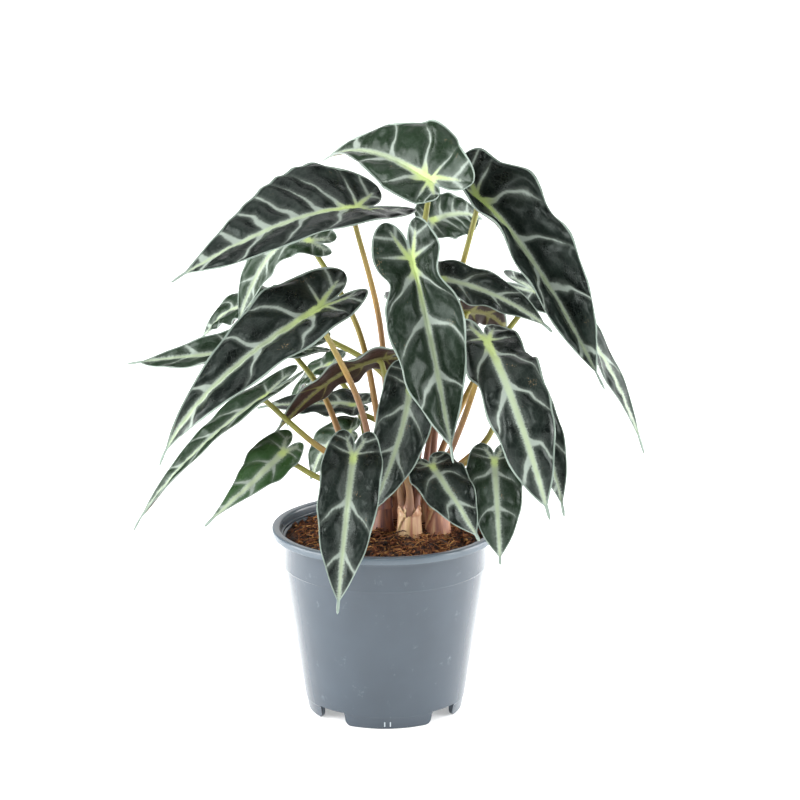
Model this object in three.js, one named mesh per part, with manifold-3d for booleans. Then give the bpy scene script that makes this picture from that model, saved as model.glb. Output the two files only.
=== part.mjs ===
// Potted alocasia: a clump of arrow-shaped, pale-veined leaves on long petioles,
// growing from six sheathed shoots in a round plastic nursery pot.
// Millimetres, +Z up. The origin lies on the pot's axis, in the plane that its feet stand on,
// and -Y is the side that the plant shows to the viewer.
import * as THREE from 'three';
import { mergeVertices } from 'three/addons/utils/BufferGeometryUtils.js';
import Module from 'manifold-3d';

// ---------------------------------------------------------------- driving dimensions

const POT = {
  height: 100,
  lipRadius: 60,
  lipHeight: 4,
  mouthRadius: 55.5, // inner edge of the lip
  lipEdge: 1, // how far the lip's edges are rounded off
  lipSlope: 2, // height of the slope from the lip's inner edge down to the wall
  collarRadius: 54, // wall just under the lip
  collarDepth: 21, // from the lip's top down to the faint step
  step: 0.5, // how far the wall steps in below the collar
  footRadius: 41.3,
  wall: 1.5,
  footHeight: 7.5,
  footWall: 2.4,
  floor: 2,
  footGap: 17, // width of the slot between two feet
  footCorner: 3.5,
  footTurn: 3, // degrees that the front foot is turned to the right
  drainHoles: 8,
  drainRadius: 4,
  drainRing: 27,
  drainSides: 12,
  feet: 4,
  sides: 48,
};

const SOIL = {
  edge: 94, // height where it meets the pot's wall
  mound: 4.5, // how far it rises round the shoots
  grain: 1.1, // height of its lumps
  lump: 3.5, // width of its lumps, divided by pi
  rings: 6,
};

const CLEAR = 0.3; // gap kept between neighbouring pieces

const SHOOT = {
  baseRadius: 6.7,
  topRadius: 5.9,
  footRadius: 4.7,
  footTaper: 4, // height over which the foot widens to the base
  topEdge: 2, // height of the rounded edge round the top
  topInset: 0.6,
  depth: 14, // how deep it stands in the soil
  sides: 14,
  seats: 5, // petioles that it carries
  seatRing: 3.7, // radius of the ring that they stand on
};

const PETIOLE = {
  baseRadius: 1.9,
  tipRadius: 1.3,
  sides: 6,
  steps: 9,
  rise: 8, // height of the stretch that stands up from the shoot
  lean: 0.4, // how far it leans out over that stretch, as a share of the seats' ring
};

const BLADE = {
  thickness: 0.8,
  rib: 0.9, // extra depth of the midrib, under the blade
  widest: 0.14, // where the blade is widest, as a share of its length
  taper: 0.78, // share of the length over which it narrows, before the drip tip
  drip: 0.05, // width of the drip tip's root, as a share of the widest half
  sinus: 0.07, // notch between the lobes, as a share of the length
  lobe: 0.2, // length of the lobes behind the petiole, as a share of the length
  lobeSpread: 0.42, // how far out the lobes end, as a share of the half width
  columns: [0, 0.16, 0.6, 1], // from the midrib to the margin
  narrowing: 1.35, // how long the blade stays wide before it narrows
  waves: 3.4, // undulations along each margin
  offBeat: 1.9, // how far one margin's undulations lag behind the other's, in radians
  ribFade: 0.8, // share of the midrib's depth that is lost towards the tip
  lobeRows: 3,
  rowPitch: 2.6, // half width for each row of the blade
  rowCrowding: 1.05, // above 1, rows lie closer at the petiole than at the tip
};

const FINISH = {
  pot: { color: 0x7d8891, roughness: 0.45 },
  soil: { color: 0x5a3420, roughness: 0.95 },
  shoot: { color: 0xa98f80, roughness: 0.6 },
  petiole: { color: 0x8f8348, roughness: 0.5 },
  blade: { color: 0x3c4d3e, roughness: 0.35 },
};

// Where the six shoots leave the soil, and how high each stands above it.
const SHOOTS = {
  left: { at: [-2, -6], tall: 18.5 },
  middle: { at: [13, -11], tall: 15.5 },
  right: { at: [28, -6], tall: 17.5 },
  back_left: { at: [5, 8.5], tall: 21.5 },
  back_right: { at: [21, 9], tall: 20.5 },
  outer_left: { at: [-11.5, 6], tall: 16.5 },
};

// The leaves. base is where the petiole meets the blade, bend pulls the midrib's arch, and tip
// is the drip tip. face is the way that the upper side looks, and twist turns it towards the tip,
// in degrees. half is the widest half width, right and left of the midrib, fold lifts that half,
// in degrees, curl bends its margin further, and wave is the height of the margins' undulation.
// via is a point that the petiole passes on its way from its seat on the shoot. lobes is how much
// longer than usual each lobe is, narrow is how long each half stays wide before it narrows, and
// waist is how much the blade narrows just in front of its petiole. phase is where the margins'
// undulation starts, in radians.
const LEAVES = {
  top: {
    base: [21.9, -30, 292.7], bend: [-12.5, 12.6, 307.9], tip: [-33, 52, 286], face: [-0.77, -0.88, 0.69],
    half: [27.5, 18.5], fold: [7, 36], curl: [-11, -20], twist: 26, wave: 3.2,
    lobes: [1.65, 0.75], narrow: [0.63, 0.6], phase: 23.4,
    shoot: 'back_right', seat: 1, via: [13, 5, 200],
  },
  upper_left: {
    base: [-15.5, -8, 272.8], bend: [-51.5, -33.1, 276.3], tip: [-109, -36, 240], face: [-0.36, -0.73, 0.7],
    half: [34.6, 25.6], fold: [-6, 32], curl: [15, -13], twist: 1, wave: 0.6,
    lobes: [1.14, 1.7], narrow: [0.76, 2.53], phase: 24.8,
    shoot: 'left', seat: 3, via: [-2, 4, 205],
  },
  upper_right: {
    base: [48.8, -6, 276.6], bend: [76.5, -25.9, 257.8], tip: [113, -46, 186], face: [0.48, -0.85, 0.6],
    half: [19.6, 28.1], fold: [42, 42], curl: [12, 15], twist: 40, wave: 4.5,
    lobes: [1.1, 0.85], narrow: [1.74, 1.83], phase: 9.8,
    shoot: 'right', seat: 2, via: [33, 4, 205],
  },
  centre_front: {
    base: [14.8, -43, 251.5], bend: [24, -59, 218], tip: [35, -78, 156], face: [-0.25, -1.09, 0.45],
    half: [23.6, 23], fold: [26, 35], curl: [-1, -8], twist: -40, wave: 4,
    lobes: [1.2, 1.05], narrow: [2.55, 1.1], phase: 23, waist: 0.34,
    shoot: 'middle', seat: 2, via: [14, -1, 188],
  },
  left_front: {
    base: [-34.4, -36, 225.5], bend: [-95.5, -97, 201.9], tip: [-114, -72, 153], face: [-0.15, -0.98, 0.6],
    half: [23.8, 19.3], fold: [4, 42], curl: [0, -40], twist: 4, wave: 2,
    lobes: [1.25, 1.2], narrow: [0.6, 1.57], phase: 23.6,
    shoot: 'left', seat: 2, via: [-13, -15, 170],
  },
  right_front: {
    base: [52.9, -44, 210.2], bend: [67.9, -105, 191.2], tip: [84, -82, 127], face: [0.23, -0.8, 0.4],
    half: [14.7, 21.3], fold: [-7, -5], curl: [-40, -7], twist: 18, wave: 3.3,
    lobes: [1.3, 0.8], narrow: [2.59, 1.32], phase: 14.3,
    shoot: 'right', seat: 0, via: [42, -18, 165],
  },
  right_behind: {
    base: [64, -20, 185], bend: [84, -42, 165], tip: [93, -46, 118], face: [0.2, -0.9, 0.4],
    half: [13, 13], fold: [20, 20], curl: [-15, -15], twist: 0, wave: 2.2,
    shoot: 'right', seat: 3, via: [54, -8, 150],
  },
  rim_front: {
    base: [-16, -52, 151], bend: [-20, -86, 127], tip: [-24, -79, 76], face: [0, -0.9, 0.45],
    half: [16, 16], fold: [15, 15], curl: [-15, -15], twist: 0, wave: 2.2,
    shoot: 'left', seat: 0, via: [-13, -35, 139],
  },
  middle_low: {
    base: [13, -24, 181], bend: [11, -40, 160], tip: [-9, -38, 113], face: [0, -0.9, 0.4],
    half: [15, 15], fold: [20, 20], curl: [-15, -15], twist: 0, wave: 2.2,
    shoot: 'middle', seat: 0, via: [8, -18, 150],
  },
  rim_middle: {
    base: [25, -34, 141], bend: [36, -59, 132], tip: [49, -56, 108], face: [0.2, -0.8, 0.5],
    half: [15, 14], fold: [10, 10], curl: [-15, -15], twist: 0, wave: 1.4,
    shoot: 'middle', seat: 4, via: [23, -26, 132],
  },
  rim_right: {
    base: [57, -30, 143], bend: [58, -54, 126], tip: [60, -46, 92], face: [0.1, -0.9, 0.4],
    half: [15, 14], fold: [10, 10], curl: [-15, -15], twist: 0, wave: 1.4,
    shoot: 'right', seat: 4, via: [47, -16, 142],
  },
  young_left: {
    base: [-53, -26, 146.9], bend: [-69.9, -47.7, 135], tip: [-93, -50, 114], face: [-0.07, -0.81, 0.6],
    half: [15, 9.6], fold: [-6, -5], curl: [-4, -27], twist: 33, wave: 0.9,
    lobes: [1.39, 1.07], narrow: [0.67, 0.64], phase: 10.3,
    shoot: 'left', seat: 1, via: [-30, -20, 130],
  },
  pale_left: {
    base: [-62.4, -20, 175.2], bend: [-107.4, -40.2, 148.5], tip: [-130, -44, 110], face: [-0.44, -0.51, 0.8],
    half: [15.5, 9.1], fold: [-3, 35], curl: [-9, -24], twist: -2, wave: 0.8,
    lobes: [1.43, 1.38], narrow: [0.62, 1.88], phase: 11.2,
    shoot: 'outer_left', seat: 0, via: [-40, -20, 153],
  },
  far_left: {
    base: [-48.1, 14, 193], bend: [-79, 4.9, 193.9], tip: [-137, 24, 182], face: [0.05, -0.56, 0.9],
    half: [16.3, 16.1], fold: [34, 24], curl: [-6, 12], twist: -10, wave: 2.4,
    lobes: [1.2, 0.98], narrow: [0.71, 3.04], phase: 15, waist: 0.11,
    shoot: 'outer_left', seat: 1, via: [-33, 10, 170],
  },
  back_left: {
    base: [-40, 24, 249], bend: [-63, 30, 254], tip: [-79, 38, 198], face: [-0.3, -0.8, 0.6],
    half: [12, 9], fold: [10, 10], curl: [-15, -15], twist: 0, wave: 1.6,
    shoot: 'back_left', seat: 1, via: [-14, 8, 205],
  },
  rear_left: {
    base: [-66, 58, 206], bend: [-87, 74, 205], tip: [-101, 82, 180], face: [-0.3, -0.4, 0.85],
    half: [15, 15], fold: [10, 10], curl: [-15, -15], twist: 0, wave: 2.2,
    shoot: 'back_left', seat: 3, via: [2, 34, 170],
  },
  rear_right: {
    base: [81, 28, 220], bend: [114, 40, 204], tip: [140, 44, 127], face: [0.7, -0.6, 0.5],
    half: [11, 9], fold: [10, 10], curl: [-15, -15], twist: 0, wave: 2.2,
    shoot: 'back_right', seat: 4, via: [50, 16, 180],
  },
  maroon_back: {
    base: [-2, -11, 194], bend: [-33, -12, 188], tip: [-59, -8, 150], face: [-0.2, 0.6, 0.7],
    half: [12, 12], fold: [0, 0], curl: [-15, -15], twist: 0, wave: 2.2,
    shoot: 'middle', seat: 1, via: [6, -10, 160],
  },
  inner_left: {
    base: [-17, 22, 160], bend: [-43, 33, 159], tip: [-69, 38, 154], face: [0, -0.4, 0.9],
    half: [11, 11], fold: [10, 10], curl: [-15, -15], twist: 0, wave: 1.4,
    shoot: 'back_left', seat: 2, via: [1, 25, 146],
  },
  inner_right: {
    base: [30, -11, 236], bend: [63, -18, 231], tip: [87, -20, 210], face: [0.2, -0.7, 0.7],
    half: [11, 12], fold: [10, 10], curl: [-15, -15], twist: 0, wave: 2.2,
    shoot: 'middle', seat: 3, via: [22, -4, 180],
  },
  olive_right: {
    base: [42, 14, 213], bend: [58, 17, 215], tip: [65, 19, 200], face: [0.1, 0.85, 0.45],
    half: [9, 10], fold: [0, 0], curl: [-15, -15], twist: 0, wave: 1.4,
    shoot: 'back_right', seat: 0, via: [28, 10, 165],
  },
  top_back: {
    base: [25.4, 30, 258.5], bend: [41, 46, 262], tip: [52, 64, 252], face: [-0.1, -0.85, 0.5],
    half: [15, 14], fold: [10, 10], curl: [-15, -15], twist: 0, wave: 1.2,
    shoot: 'back_right', seat: 3, via: [23, 18, 190],
  },
  pale_inner: {
    base: [-30, 50, 175], bend: [-46, 70, 167], tip: [-54, 74, 134], face: [-0.4, -0.3, 0.8],
    half: [12, 12], fold: [10, 10], curl: [-15, -15], twist: 0, wave: 1.4,
    shoot: 'outer_left', seat: 3, via: [-14, 38, 152],
  },
  lower_back: {
    base: [-20, 20, 145], bend: [-32, 24, 142], tip: [-40, 28, 117], face: [0, -0.5, 0.8],
    half: [12, 12], fold: [10, 10], curl: [-15, -15], twist: 0, wave: 1.4,
    shoot: 'outer_left', seat: 4, via: [-13, 10, 132],
  },
  rear_high: {
    base: [18, 51, 212], bend: [22, 83, 214], tip: [26, 88, 156], face: [0, 0.5, 0.8],
    half: [20, 20], fold: [10, 10], curl: [-15, -15], twist: 0, wave: 2.2,
    shoot: 'back_right', seat: 2, via: [17, 22, 170],
  },
};

// ---------------------------------------------------------------- helpers

const wasm = await Module();
wasm.setup();

// A closed geometry as a solid for cutting and joining.
function solidOf(geometry) {
  const bare = geometry.clone();
  bare.deleteAttribute('normal');
  bare.deleteAttribute('uv');
  const merged = mergeVertices(bare, 1e-4);
  return new wasm.Manifold(new wasm.Mesh({
    numProp: 3,
    vertProperties: new Float32Array(merged.attributes.position.array),
    triVerts: new Uint32Array(merged.index.array),
  }));
}

function geometryOf(solid) {
  const mesh = solid.getMesh();
  const geometry = new THREE.BufferGeometry();
  geometry.setAttribute('position', new THREE.BufferAttribute(mesh.vertProperties, 3));
  geometry.setIndex(new THREE.BufferAttribute(mesh.triVerts, 1));
  return geometry;
}

// A profile of [radius, height] points turned about Z.
function turned(profile, sides) {
  const points = profile.map(([radius, height]) => new THREE.Vector2(radius, height));
  return new THREE.LatheGeometry(points, sides).rotateX(Math.PI / 2);
}

function piece(name, geometry, finish) {
  const mesh = new THREE.Mesh(geometry, new THREE.MeshStandardMaterial(finish));
  mesh.name = name;
  return mesh;
}

const degrees = THREE.MathUtils.degToRad;

// ---------------------------------------------------------------- pot

// Outside radius of the pot's tapered wall at a height below the collar.
function wallRadius(height) {
  const collarFoot = POT.height - POT.collarDepth;
  const upper = POT.collarRadius - POT.step;
  return POT.footRadius + (upper - POT.footRadius) * Math.min(1, height / collarFoot);
}

function potGeometry() {
  const collarFoot = POT.height - POT.collarDepth;
  const underLip = POT.height - POT.lipHeight;
  const innerFoot = POT.footRadius - POT.footWall;
  const floorTop = POT.footHeight + POT.floor;
  const profile = [
    [0, POT.footHeight],
    [innerFoot, POT.footHeight],
    [innerFoot, 0],
    [POT.footRadius, 0],
    [wallRadius(collarFoot), collarFoot],
    [POT.collarRadius, collarFoot + POT.step],
    [POT.collarRadius, underLip],
    [POT.lipRadius, underLip],
    [POT.lipRadius, POT.height - POT.lipEdge],
    [POT.lipRadius - POT.lipEdge, POT.height],
    [POT.mouthRadius + POT.lipEdge, POT.height],
    [POT.mouthRadius, POT.height - POT.lipEdge],
    [POT.collarRadius - POT.wall, underLip - POT.lipSlope],
    [POT.collarRadius - POT.wall, collarFoot],
    [wallRadius(floorTop) - POT.wall, floorTop],
    [0, floorTop],
  ];
  let pot = solidOf(turned(profile, POT.sides));
  for (let slot = 0; slot < POT.feet; slot += 1) {
    const turn = degrees(POT.footTurn) + (2 * Math.PI * (slot + 0.5)) / POT.feet;
    pot = pot.subtract(solidOf(footSlot().rotateZ(turn)));
  }
  for (let hole = 0; hole < POT.drainHoles; hole += 1) {
    const turn = (2 * Math.PI * hole) / POT.drainHoles;
    const { drainRadius, floor, drainSides } = POT;
    const drain = new THREE.CylinderGeometry(drainRadius, drainRadius, 3 * floor, drainSides)
      .rotateX(Math.PI / 2)
      .translate(POT.drainRing * Math.cos(turn), POT.drainRing * Math.sin(turn), floorTop);
    pot = pot.subtract(solidOf(drain));
  }
  return geometryOf(pot);
}

// The slot between two feet, wider at the bottom where the feet's corners are round.
function footSlot() {
  const half = POT.footGap / 2;
  const corner = POT.footCorner;
  const shape = new THREE.Shape();
  shape.moveTo(-half - corner, -1);
  shape.lineTo(half + corner, -1);
  shape.lineTo(half + corner, 0);
  shape.absarc(half + corner, corner, corner, 1.5 * Math.PI, Math.PI, true);
  shape.lineTo(half, POT.footHeight);
  shape.lineTo(-half, POT.footHeight);
  shape.lineTo(-half, corner);
  shape.absarc(-half - corner, corner, corner, 0, -0.5 * Math.PI, true);
  shape.closePath();
  const reach = { depth: POT.lipRadius, bevelEnabled: false, curveSegments: 4 };
  return new THREE.ExtrudeGeometry(shape, reach).rotateX(Math.PI / 2);
}

// ---------------------------------------------------------------- soil

// Height of the soil's uneven top.
function soilHeight(x, y) {
  const out = Math.hypot(x, y) / (POT.collarRadius - POT.wall);
  const lumps = Math.sin(x / SOIL.lump) * Math.cos(y / SOIL.lump) + Math.sin((x - y) / (2 * SOIL.lump)) / 2;
  return SOIL.edge + SOIL.mound * (1 - out * out) + SOIL.grain * lumps;
}

function soilGeometry() {
  const bottom = POT.footHeight + POT.floor + CLEAR;
  const collarFoot = POT.height - POT.collarDepth;
  const inner = POT.collarRadius - POT.wall - CLEAR;
  const profile = [
    [0, bottom],
    [wallRadius(bottom) - POT.wall - CLEAR, bottom],
    [wallRadius(collarFoot) - POT.wall - CLEAR, collarFoot - 1],
    [inner, collarFoot + 1],
  ];
  for (let ring = SOIL.rings; ring >= 0; ring -= 1) {
    profile.push([(inner * ring) / SOIL.rings, SOIL.edge]);
  }
  const geometry = turned(profile, POT.sides / 2);
  const position = geometry.attributes.position;
  for (let i = 0; i < position.count; i += 1) {
    if (position.getZ(i) > collarFoot + 2) {
      position.setZ(i, soilHeight(position.getX(i), position.getY(i)));
    }
  }
  let soil = solidOf(geometry);
  for (const shoot of Object.values(SHOOTS)) {
    const radius = SHOOT.baseRadius + CLEAR;
    const tall = 2 * SHOOT.depth;
    const hole = new THREE.CylinderGeometry(radius, radius, tall, SHOOT.sides)
      .rotateX(Math.PI / 2)
      .translate(...shoot.at, SOIL.edge - SHOOT.depth - CLEAR + tall / 2);
    soil = soil.subtract(solidOf(hole));
  }
  return geometryOf(soil);
}

// ---------------------------------------------------------------- shoots and petioles

function shootTop(shoot) {
  return SOIL.edge + SOIL.mound + shoot.tall;
}

// One sheathed shoot, round and slimmer at the top, from which the petioles rise.
function shootGeometry(shoot) {
  const foot = SOIL.edge - SHOOT.depth;
  const top = shootTop(shoot);
  const profile = [
    [0, foot],
    [SHOOT.footRadius, foot],
    [SHOOT.baseRadius, foot + SHOOT.footTaper],
    [SHOOT.baseRadius, SOIL.edge + SOIL.mound],
    [SHOOT.topRadius, top - SHOOT.topEdge],
    [SHOOT.topRadius - SHOOT.topInset, top],
    [0, top],
  ];
  return turned(profile, SHOOT.sides).translate(...shoot.at, 0);
}

// A round bar along a curve, from one radius to another, closed at both ends.
function taperedBar(curve, startRadius, endRadius, sides, steps) {
  const frames = curve.computeFrenetFrames(steps, false);
  const vertices = [];
  for (let step = 0; step <= steps; step += 1) {
    const share = step / steps;
    const centre = curve.getPointAt(share);
    const radius = startRadius + (endRadius - startRadius) * share;
    for (let side = 0; side < sides; side += 1) {
      const turn = (2 * Math.PI * side) / sides;
      const point = centre.clone();
      point.addScaledVector(frames.normals[step], radius * Math.cos(turn));
      point.addScaledVector(frames.binormals[step], radius * Math.sin(turn));
      vertices.push(point.x, point.y, point.z);
    }
  }
  const faces = [];
  for (let step = 0; step < steps; step += 1) {
    for (let side = 0; side < sides; side += 1) {
      const a = step * sides + side;
      const b = step * sides + ((side + 1) % sides);
      faces.push(a, b, a + sides, b, b + sides, a + sides);
    }
  }
  const last = steps * sides;
  for (let side = 1; side < sides - 1; side += 1) {
    faces.push(0, side + 1, side);
    faces.push(last, last + side, last + side + 1);
  }
  const geometry = new THREE.BufferGeometry();
  geometry.setAttribute('position', new THREE.Float32BufferAttribute(vertices, 3));
  geometry.setIndex(faces);
  return geometry;
}

// A point over a petiole's seat on its shoot, at a radius from the shoot's axis.
function seatPoint(leaf, radius, height) {
  const shoot = SHOOTS[leaf.shoot];
  const turn = -Math.PI / 2 - (2 * Math.PI * leaf.seat) / SHOOT.seats;
  const x = shoot.at[0] + radius * Math.cos(turn);
  const y = shoot.at[1] + radius * Math.sin(turn);
  return new THREE.Vector3(x, y, shootTop(shoot) + 2 * CLEAR + height);
}

function petioleGeometry(leaf) {
  const { normal } = midribFrame(leaf, 0);
  const under = BLADE.thickness / 2 + BLADE.rib + 2 * CLEAR + PETIOLE.tipRadius;
  const end = new THREE.Vector3(...leaf.base).addScaledVector(normal, -under);
  const seat = seatPoint(leaf, SHOOT.seatRing, 0);
  const rise = seatPoint(leaf, SHOOT.seatRing * (1 + PETIOLE.lean), PETIOLE.rise);
  const curve = new THREE.CatmullRomCurve3([seat, rise, new THREE.Vector3(...leaf.via), end]);
  return taperedBar(curve, PETIOLE.baseRadius, PETIOLE.tipRadius, PETIOLE.sides, PETIOLE.steps);
}

// ---------------------------------------------------------------- blades

// The midrib's point, its direction, the blade's normal and its right, at a share of the length.
// Behind the petiole, where the share is negative, the line runs straight on.
function midribFrame(leaf, along) {
  const curve = new THREE.QuadraticBezierCurve3(
    new THREE.Vector3(...leaf.base),
    new THREE.Vector3(...leaf.bend),
    new THREE.Vector3(...leaf.tip),
  );
  const share = Math.max(0, along);
  const point = curve.getPointAt(share);
  const ahead = curve.getTangentAt(share);
  point.addScaledVector(ahead, Math.min(0, along) * curve.getLength());
  const normal = new THREE.Vector3(...leaf.face);
  normal.addScaledVector(ahead, -normal.dot(ahead)).normalize();
  normal.applyAxisAngle(ahead, degrees(leaf.twist * share));
  const right = new THREE.Vector3().crossVectors(ahead, normal);
  return { point, normal, right };
}

// Half width of the arrow outline at a share of the length, and where the lobe's inner edge is.
function outerEdge(leaf, side, along) {
  const { widest, taper, narrowing, drip, lobe, lobeSpread } = BLADE;
  const narrow = (leaf.narrow ?? [narrowing, narrowing])[side];
  if (along < widest) {
    const back = (widest - along) / (widest + lobe);
    return lobeSpread + (1 - lobeSpread) * Math.sqrt(Math.max(0, 1 - back * back));
  }
  const down = Math.min(1, (along - widest) / taper);
  const body = Math.cos((Math.PI / 2) * Math.pow(down, narrow));
  return (1 - drip) * body + drip * Math.sqrt(1 - along);
}

function innerEdge(along) {
  const { sinus, lobe, lobeSpread } = BLADE;
  const back = Math.max(0, (-along - sinus) / (lobe - sinus));
  return lobeSpread * (1 - Math.sqrt(Math.max(0, 1 - back * back)));
}

// A point of the blade's middle surface, from its place across (-1 left margin, 1 right) and along.
function bladePoint(leaf, across, along) {
  const side = across < 0 ? 1 : 0;
  const longer = (leaf.lobes ?? [1, 1])[side] - 1;
  const place = along + longer * Math.min(0, along + BLADE.sinus);
  const { point, normal, right } = midribFrame(leaf, place);
  const pinch = 1 - (leaf.waist ?? 0) * Math.exp(-(((along - 0.1) / 0.09) ** 2));
  const half = leaf.half[side] * pinch;
  const out = Math.abs(across);
  const rise = degrees(leaf.fold[side] + (leaf.curl[side] * out) / 2);
  const phase = side * BLADE.offBeat + (leaf.phase ?? leaf.half[0]);
  const fade = 1 - Math.max(0, along) ** 2;
  const ripple = leaf.wave * fade * out * out * Math.sin(2 * Math.PI * BLADE.waves * along + phase);
  point.addScaledVector(right, Math.sign(across) * out * half * Math.cos(rise));
  point.addScaledVector(normal, out * half * Math.sin(rise) + ripple);
  return point;
}

function bladeNormal(leaf, across, along) {
  const step = 0.02;
  const end = Math.min(1 - step, along);
  const wide = bladePoint(leaf, across + step, along).sub(bladePoint(leaf, across - step, along));
  const long = bladePoint(leaf, across, end + step).sub(bladePoint(leaf, across, end - step));
  return wide.cross(long).normalize();
}

// Shares of the length where the blade's rows lie: close together in the lobes, then even.
function rowPlaces(rows) {
  const { lobe, sinus, lobeRows, rowCrowding } = BLADE;
  const places = [];
  for (let row = 0; row < lobeRows; row += 1) {
    const back = Math.cos((Math.PI / 2) * (row / lobeRows));
    places.push(-sinus - (lobe - sinus) * back);
  }
  for (let row = 0; row <= rows; row += 1) {
    places.push(-sinus + (1 + sinus) * Math.pow(row / rows, rowCrowding));
  }
  return places;
}

// The blade as a thin closed plate. Each half is a grid from the midrib, or from the lobe's
// inner edge, to the margin, and both faces are split into triangles alike.
function bladeGeometry(leaf) {
  const rows = rowPlaces(Math.round(leaf.half[0] / BLADE.rowPitch));
  const last = rows.length - 1;
  const vertices = [];
  const numbers = new Map();
  const faces = [];

  // Number of the vertex on a half (1 right, -1 left), row, column and face (1 upper, -1 under).
  function vertex(half, row, column, face) {
    const along = rows[row];
    const atPoint = row === 0 || row === last;
    const inner = innerEdge(along);
    const share = atPoint ? 0 : BLADE.columns[column];
    const outer = outerEdge(leaf, half > 0 ? 0 : 1, along);
    const across = half * (inner + (outer - inner) * share);
    const onMidrib = Math.abs(across) < 1e-9;
    const key = [onMidrib ? 0 : half, row, atPoint ? 0 : column, face].join();
    if (!numbers.has(key)) {
      const point = bladePoint(leaf, across, along);
      const rib = face < 0 && onMidrib ? BLADE.rib * (1 - BLADE.ribFade * Math.max(0, along)) : 0;
      const offset = face * (BLADE.thickness / 2 + rib);
      point.addScaledVector(bladeNormal(leaf, across, along), offset);
      numbers.set(key, vertices.length / 3);
      vertices.push(point.x, point.y, point.z);
    }
    return numbers.get(key);
  }

  function triangle(a, b, c) {
    if (a !== b && b !== c && c !== a) {
      faces.push(a, b, c);
    }
  }

  function quad(a, b, c, d) {
    triangle(a, b, c);
    triangle(a, c, d);
  }

  for (const half of [1, -1]) {
    for (let row = 0; row < last; row += 1) {
      for (let column = 0; column < BLADE.columns.length - 1; column += 1) {
        for (const face of [1, -1]) {
          const corners = [
            vertex(half, row, column, face),
            vertex(half, row, column + 1, face),
            vertex(half, row + 1, column + 1, face),
            vertex(half, row + 1, column, face),
          ];
          if (half * face > 0) {
            quad(...corners);
          } else {
            const [a, b, c, d] = corners;
            triangle(a, c, b);
            triangle(a, d, c);
          }
        }
      }
      const edges = [[BLADE.columns.length - 1, half]];
      if (row < BLADE.lobeRows) {
        edges.push([0, -half]);
      }
      for (const [column, way] of edges) {
        const near = vertex(half, row, column, 1);
        const far = vertex(half, row + 1, column, 1);
        const nearUnder = vertex(half, row, column, -1);
        const farUnder = vertex(half, row + 1, column, -1);
        if (way > 0) {
          quad(near, nearUnder, farUnder, far);
        } else {
          quad(near, far, farUnder, nearUnder);
        }
      }
    }
  }
  const geometry = new THREE.BufferGeometry();
  geometry.setAttribute('position', new THREE.Float32BufferAttribute(vertices, 3));
  geometry.setIndex(faces);
  return geometry;
}

// ---------------------------------------------------------------- the whole

const plant = new THREE.Group();
plant.add(piece('pot', potGeometry(), FINISH.pot));
plant.add(piece('soil', soilGeometry(), FINISH.soil));
for (const [name, shoot] of Object.entries(SHOOTS)) {
  plant.add(piece(`shoot_${name}`, shootGeometry(shoot), FINISH.shoot));
}
for (const [name, leaf] of Object.entries(LEAVES)) {
  plant.add(piece(`petiole_${name}`, petioleGeometry(leaf), FINISH.petiole));
  plant.add(piece(`blade_${name}`, bladeGeometry(leaf), FINISH.blade));
}

export default plant;
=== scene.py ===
# %% [markdown]
# # A potted alocasia
# The plant is a clump of dark, waxy, arrow-shaped leaves with pale veins. Each leaf arches on a long stalk,
# the stalks leave six sheathed shoots, and the shoots stand in a round nursery pot of grey-blue plastic.
# The solid model of the plant is loaded first. Every piece made here takes the place of one of its nodes,
# keeps that node's form, and adds what the eye looks for: veins, quilting, sheaths, fibres and moulded edges.

# %% Load the frame
import math
import random

import bmesh
import bpy
from mathutils import Matrix, Vector, noise


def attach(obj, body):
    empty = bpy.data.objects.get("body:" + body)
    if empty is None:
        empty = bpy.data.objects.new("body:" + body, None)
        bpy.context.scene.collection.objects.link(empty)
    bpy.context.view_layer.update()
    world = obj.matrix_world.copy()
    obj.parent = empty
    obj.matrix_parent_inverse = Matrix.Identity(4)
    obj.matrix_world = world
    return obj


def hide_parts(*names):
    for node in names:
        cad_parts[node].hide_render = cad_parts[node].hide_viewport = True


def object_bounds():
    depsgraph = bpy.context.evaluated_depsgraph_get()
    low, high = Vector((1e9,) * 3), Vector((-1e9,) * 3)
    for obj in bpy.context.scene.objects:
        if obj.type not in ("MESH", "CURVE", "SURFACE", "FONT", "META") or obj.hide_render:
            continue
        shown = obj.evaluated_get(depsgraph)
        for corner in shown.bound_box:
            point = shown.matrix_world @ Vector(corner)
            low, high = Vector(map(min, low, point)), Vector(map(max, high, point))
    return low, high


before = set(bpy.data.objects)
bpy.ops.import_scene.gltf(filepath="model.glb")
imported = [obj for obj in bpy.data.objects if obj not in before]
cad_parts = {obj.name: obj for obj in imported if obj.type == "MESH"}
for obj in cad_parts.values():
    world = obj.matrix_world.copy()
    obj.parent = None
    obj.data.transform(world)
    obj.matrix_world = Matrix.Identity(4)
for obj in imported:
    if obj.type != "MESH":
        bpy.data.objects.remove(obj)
cad_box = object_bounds()
MM = 0.001
print("frame:", len(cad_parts), "nodes, box", cad_box)

# %% [markdown]
# ## The camera
# The photograph was taken with a long lens from a little above the rim, so that one sees into the pot. The camera
# comes first, because every other step is judged through it. It stands almost two metres away and looks down by
# 14.7 degrees, which keeps the pot's sides nearly parallel.

# %% Place the camera
CAMERA_PLACE = Vector((8, -1819.9, 646)) * MM
CAMERA_DOWN = 14.7
CAMERA_LENS = 161


def place_camera():
    data = bpy.data.cameras.new("camera")
    data.lens = CAMERA_LENS
    data.sensor_width = 36
    camera = bpy.data.objects.new("camera", data)
    camera.location = CAMERA_PLACE
    camera.rotation_euler = (math.radians(90 - CAMERA_DOWN), 0, 0)
    bpy.context.scene.collection.objects.link(camera)
    bpy.context.scene.camera = camera
    return camera


print("camera:", place_camera().location)

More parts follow.
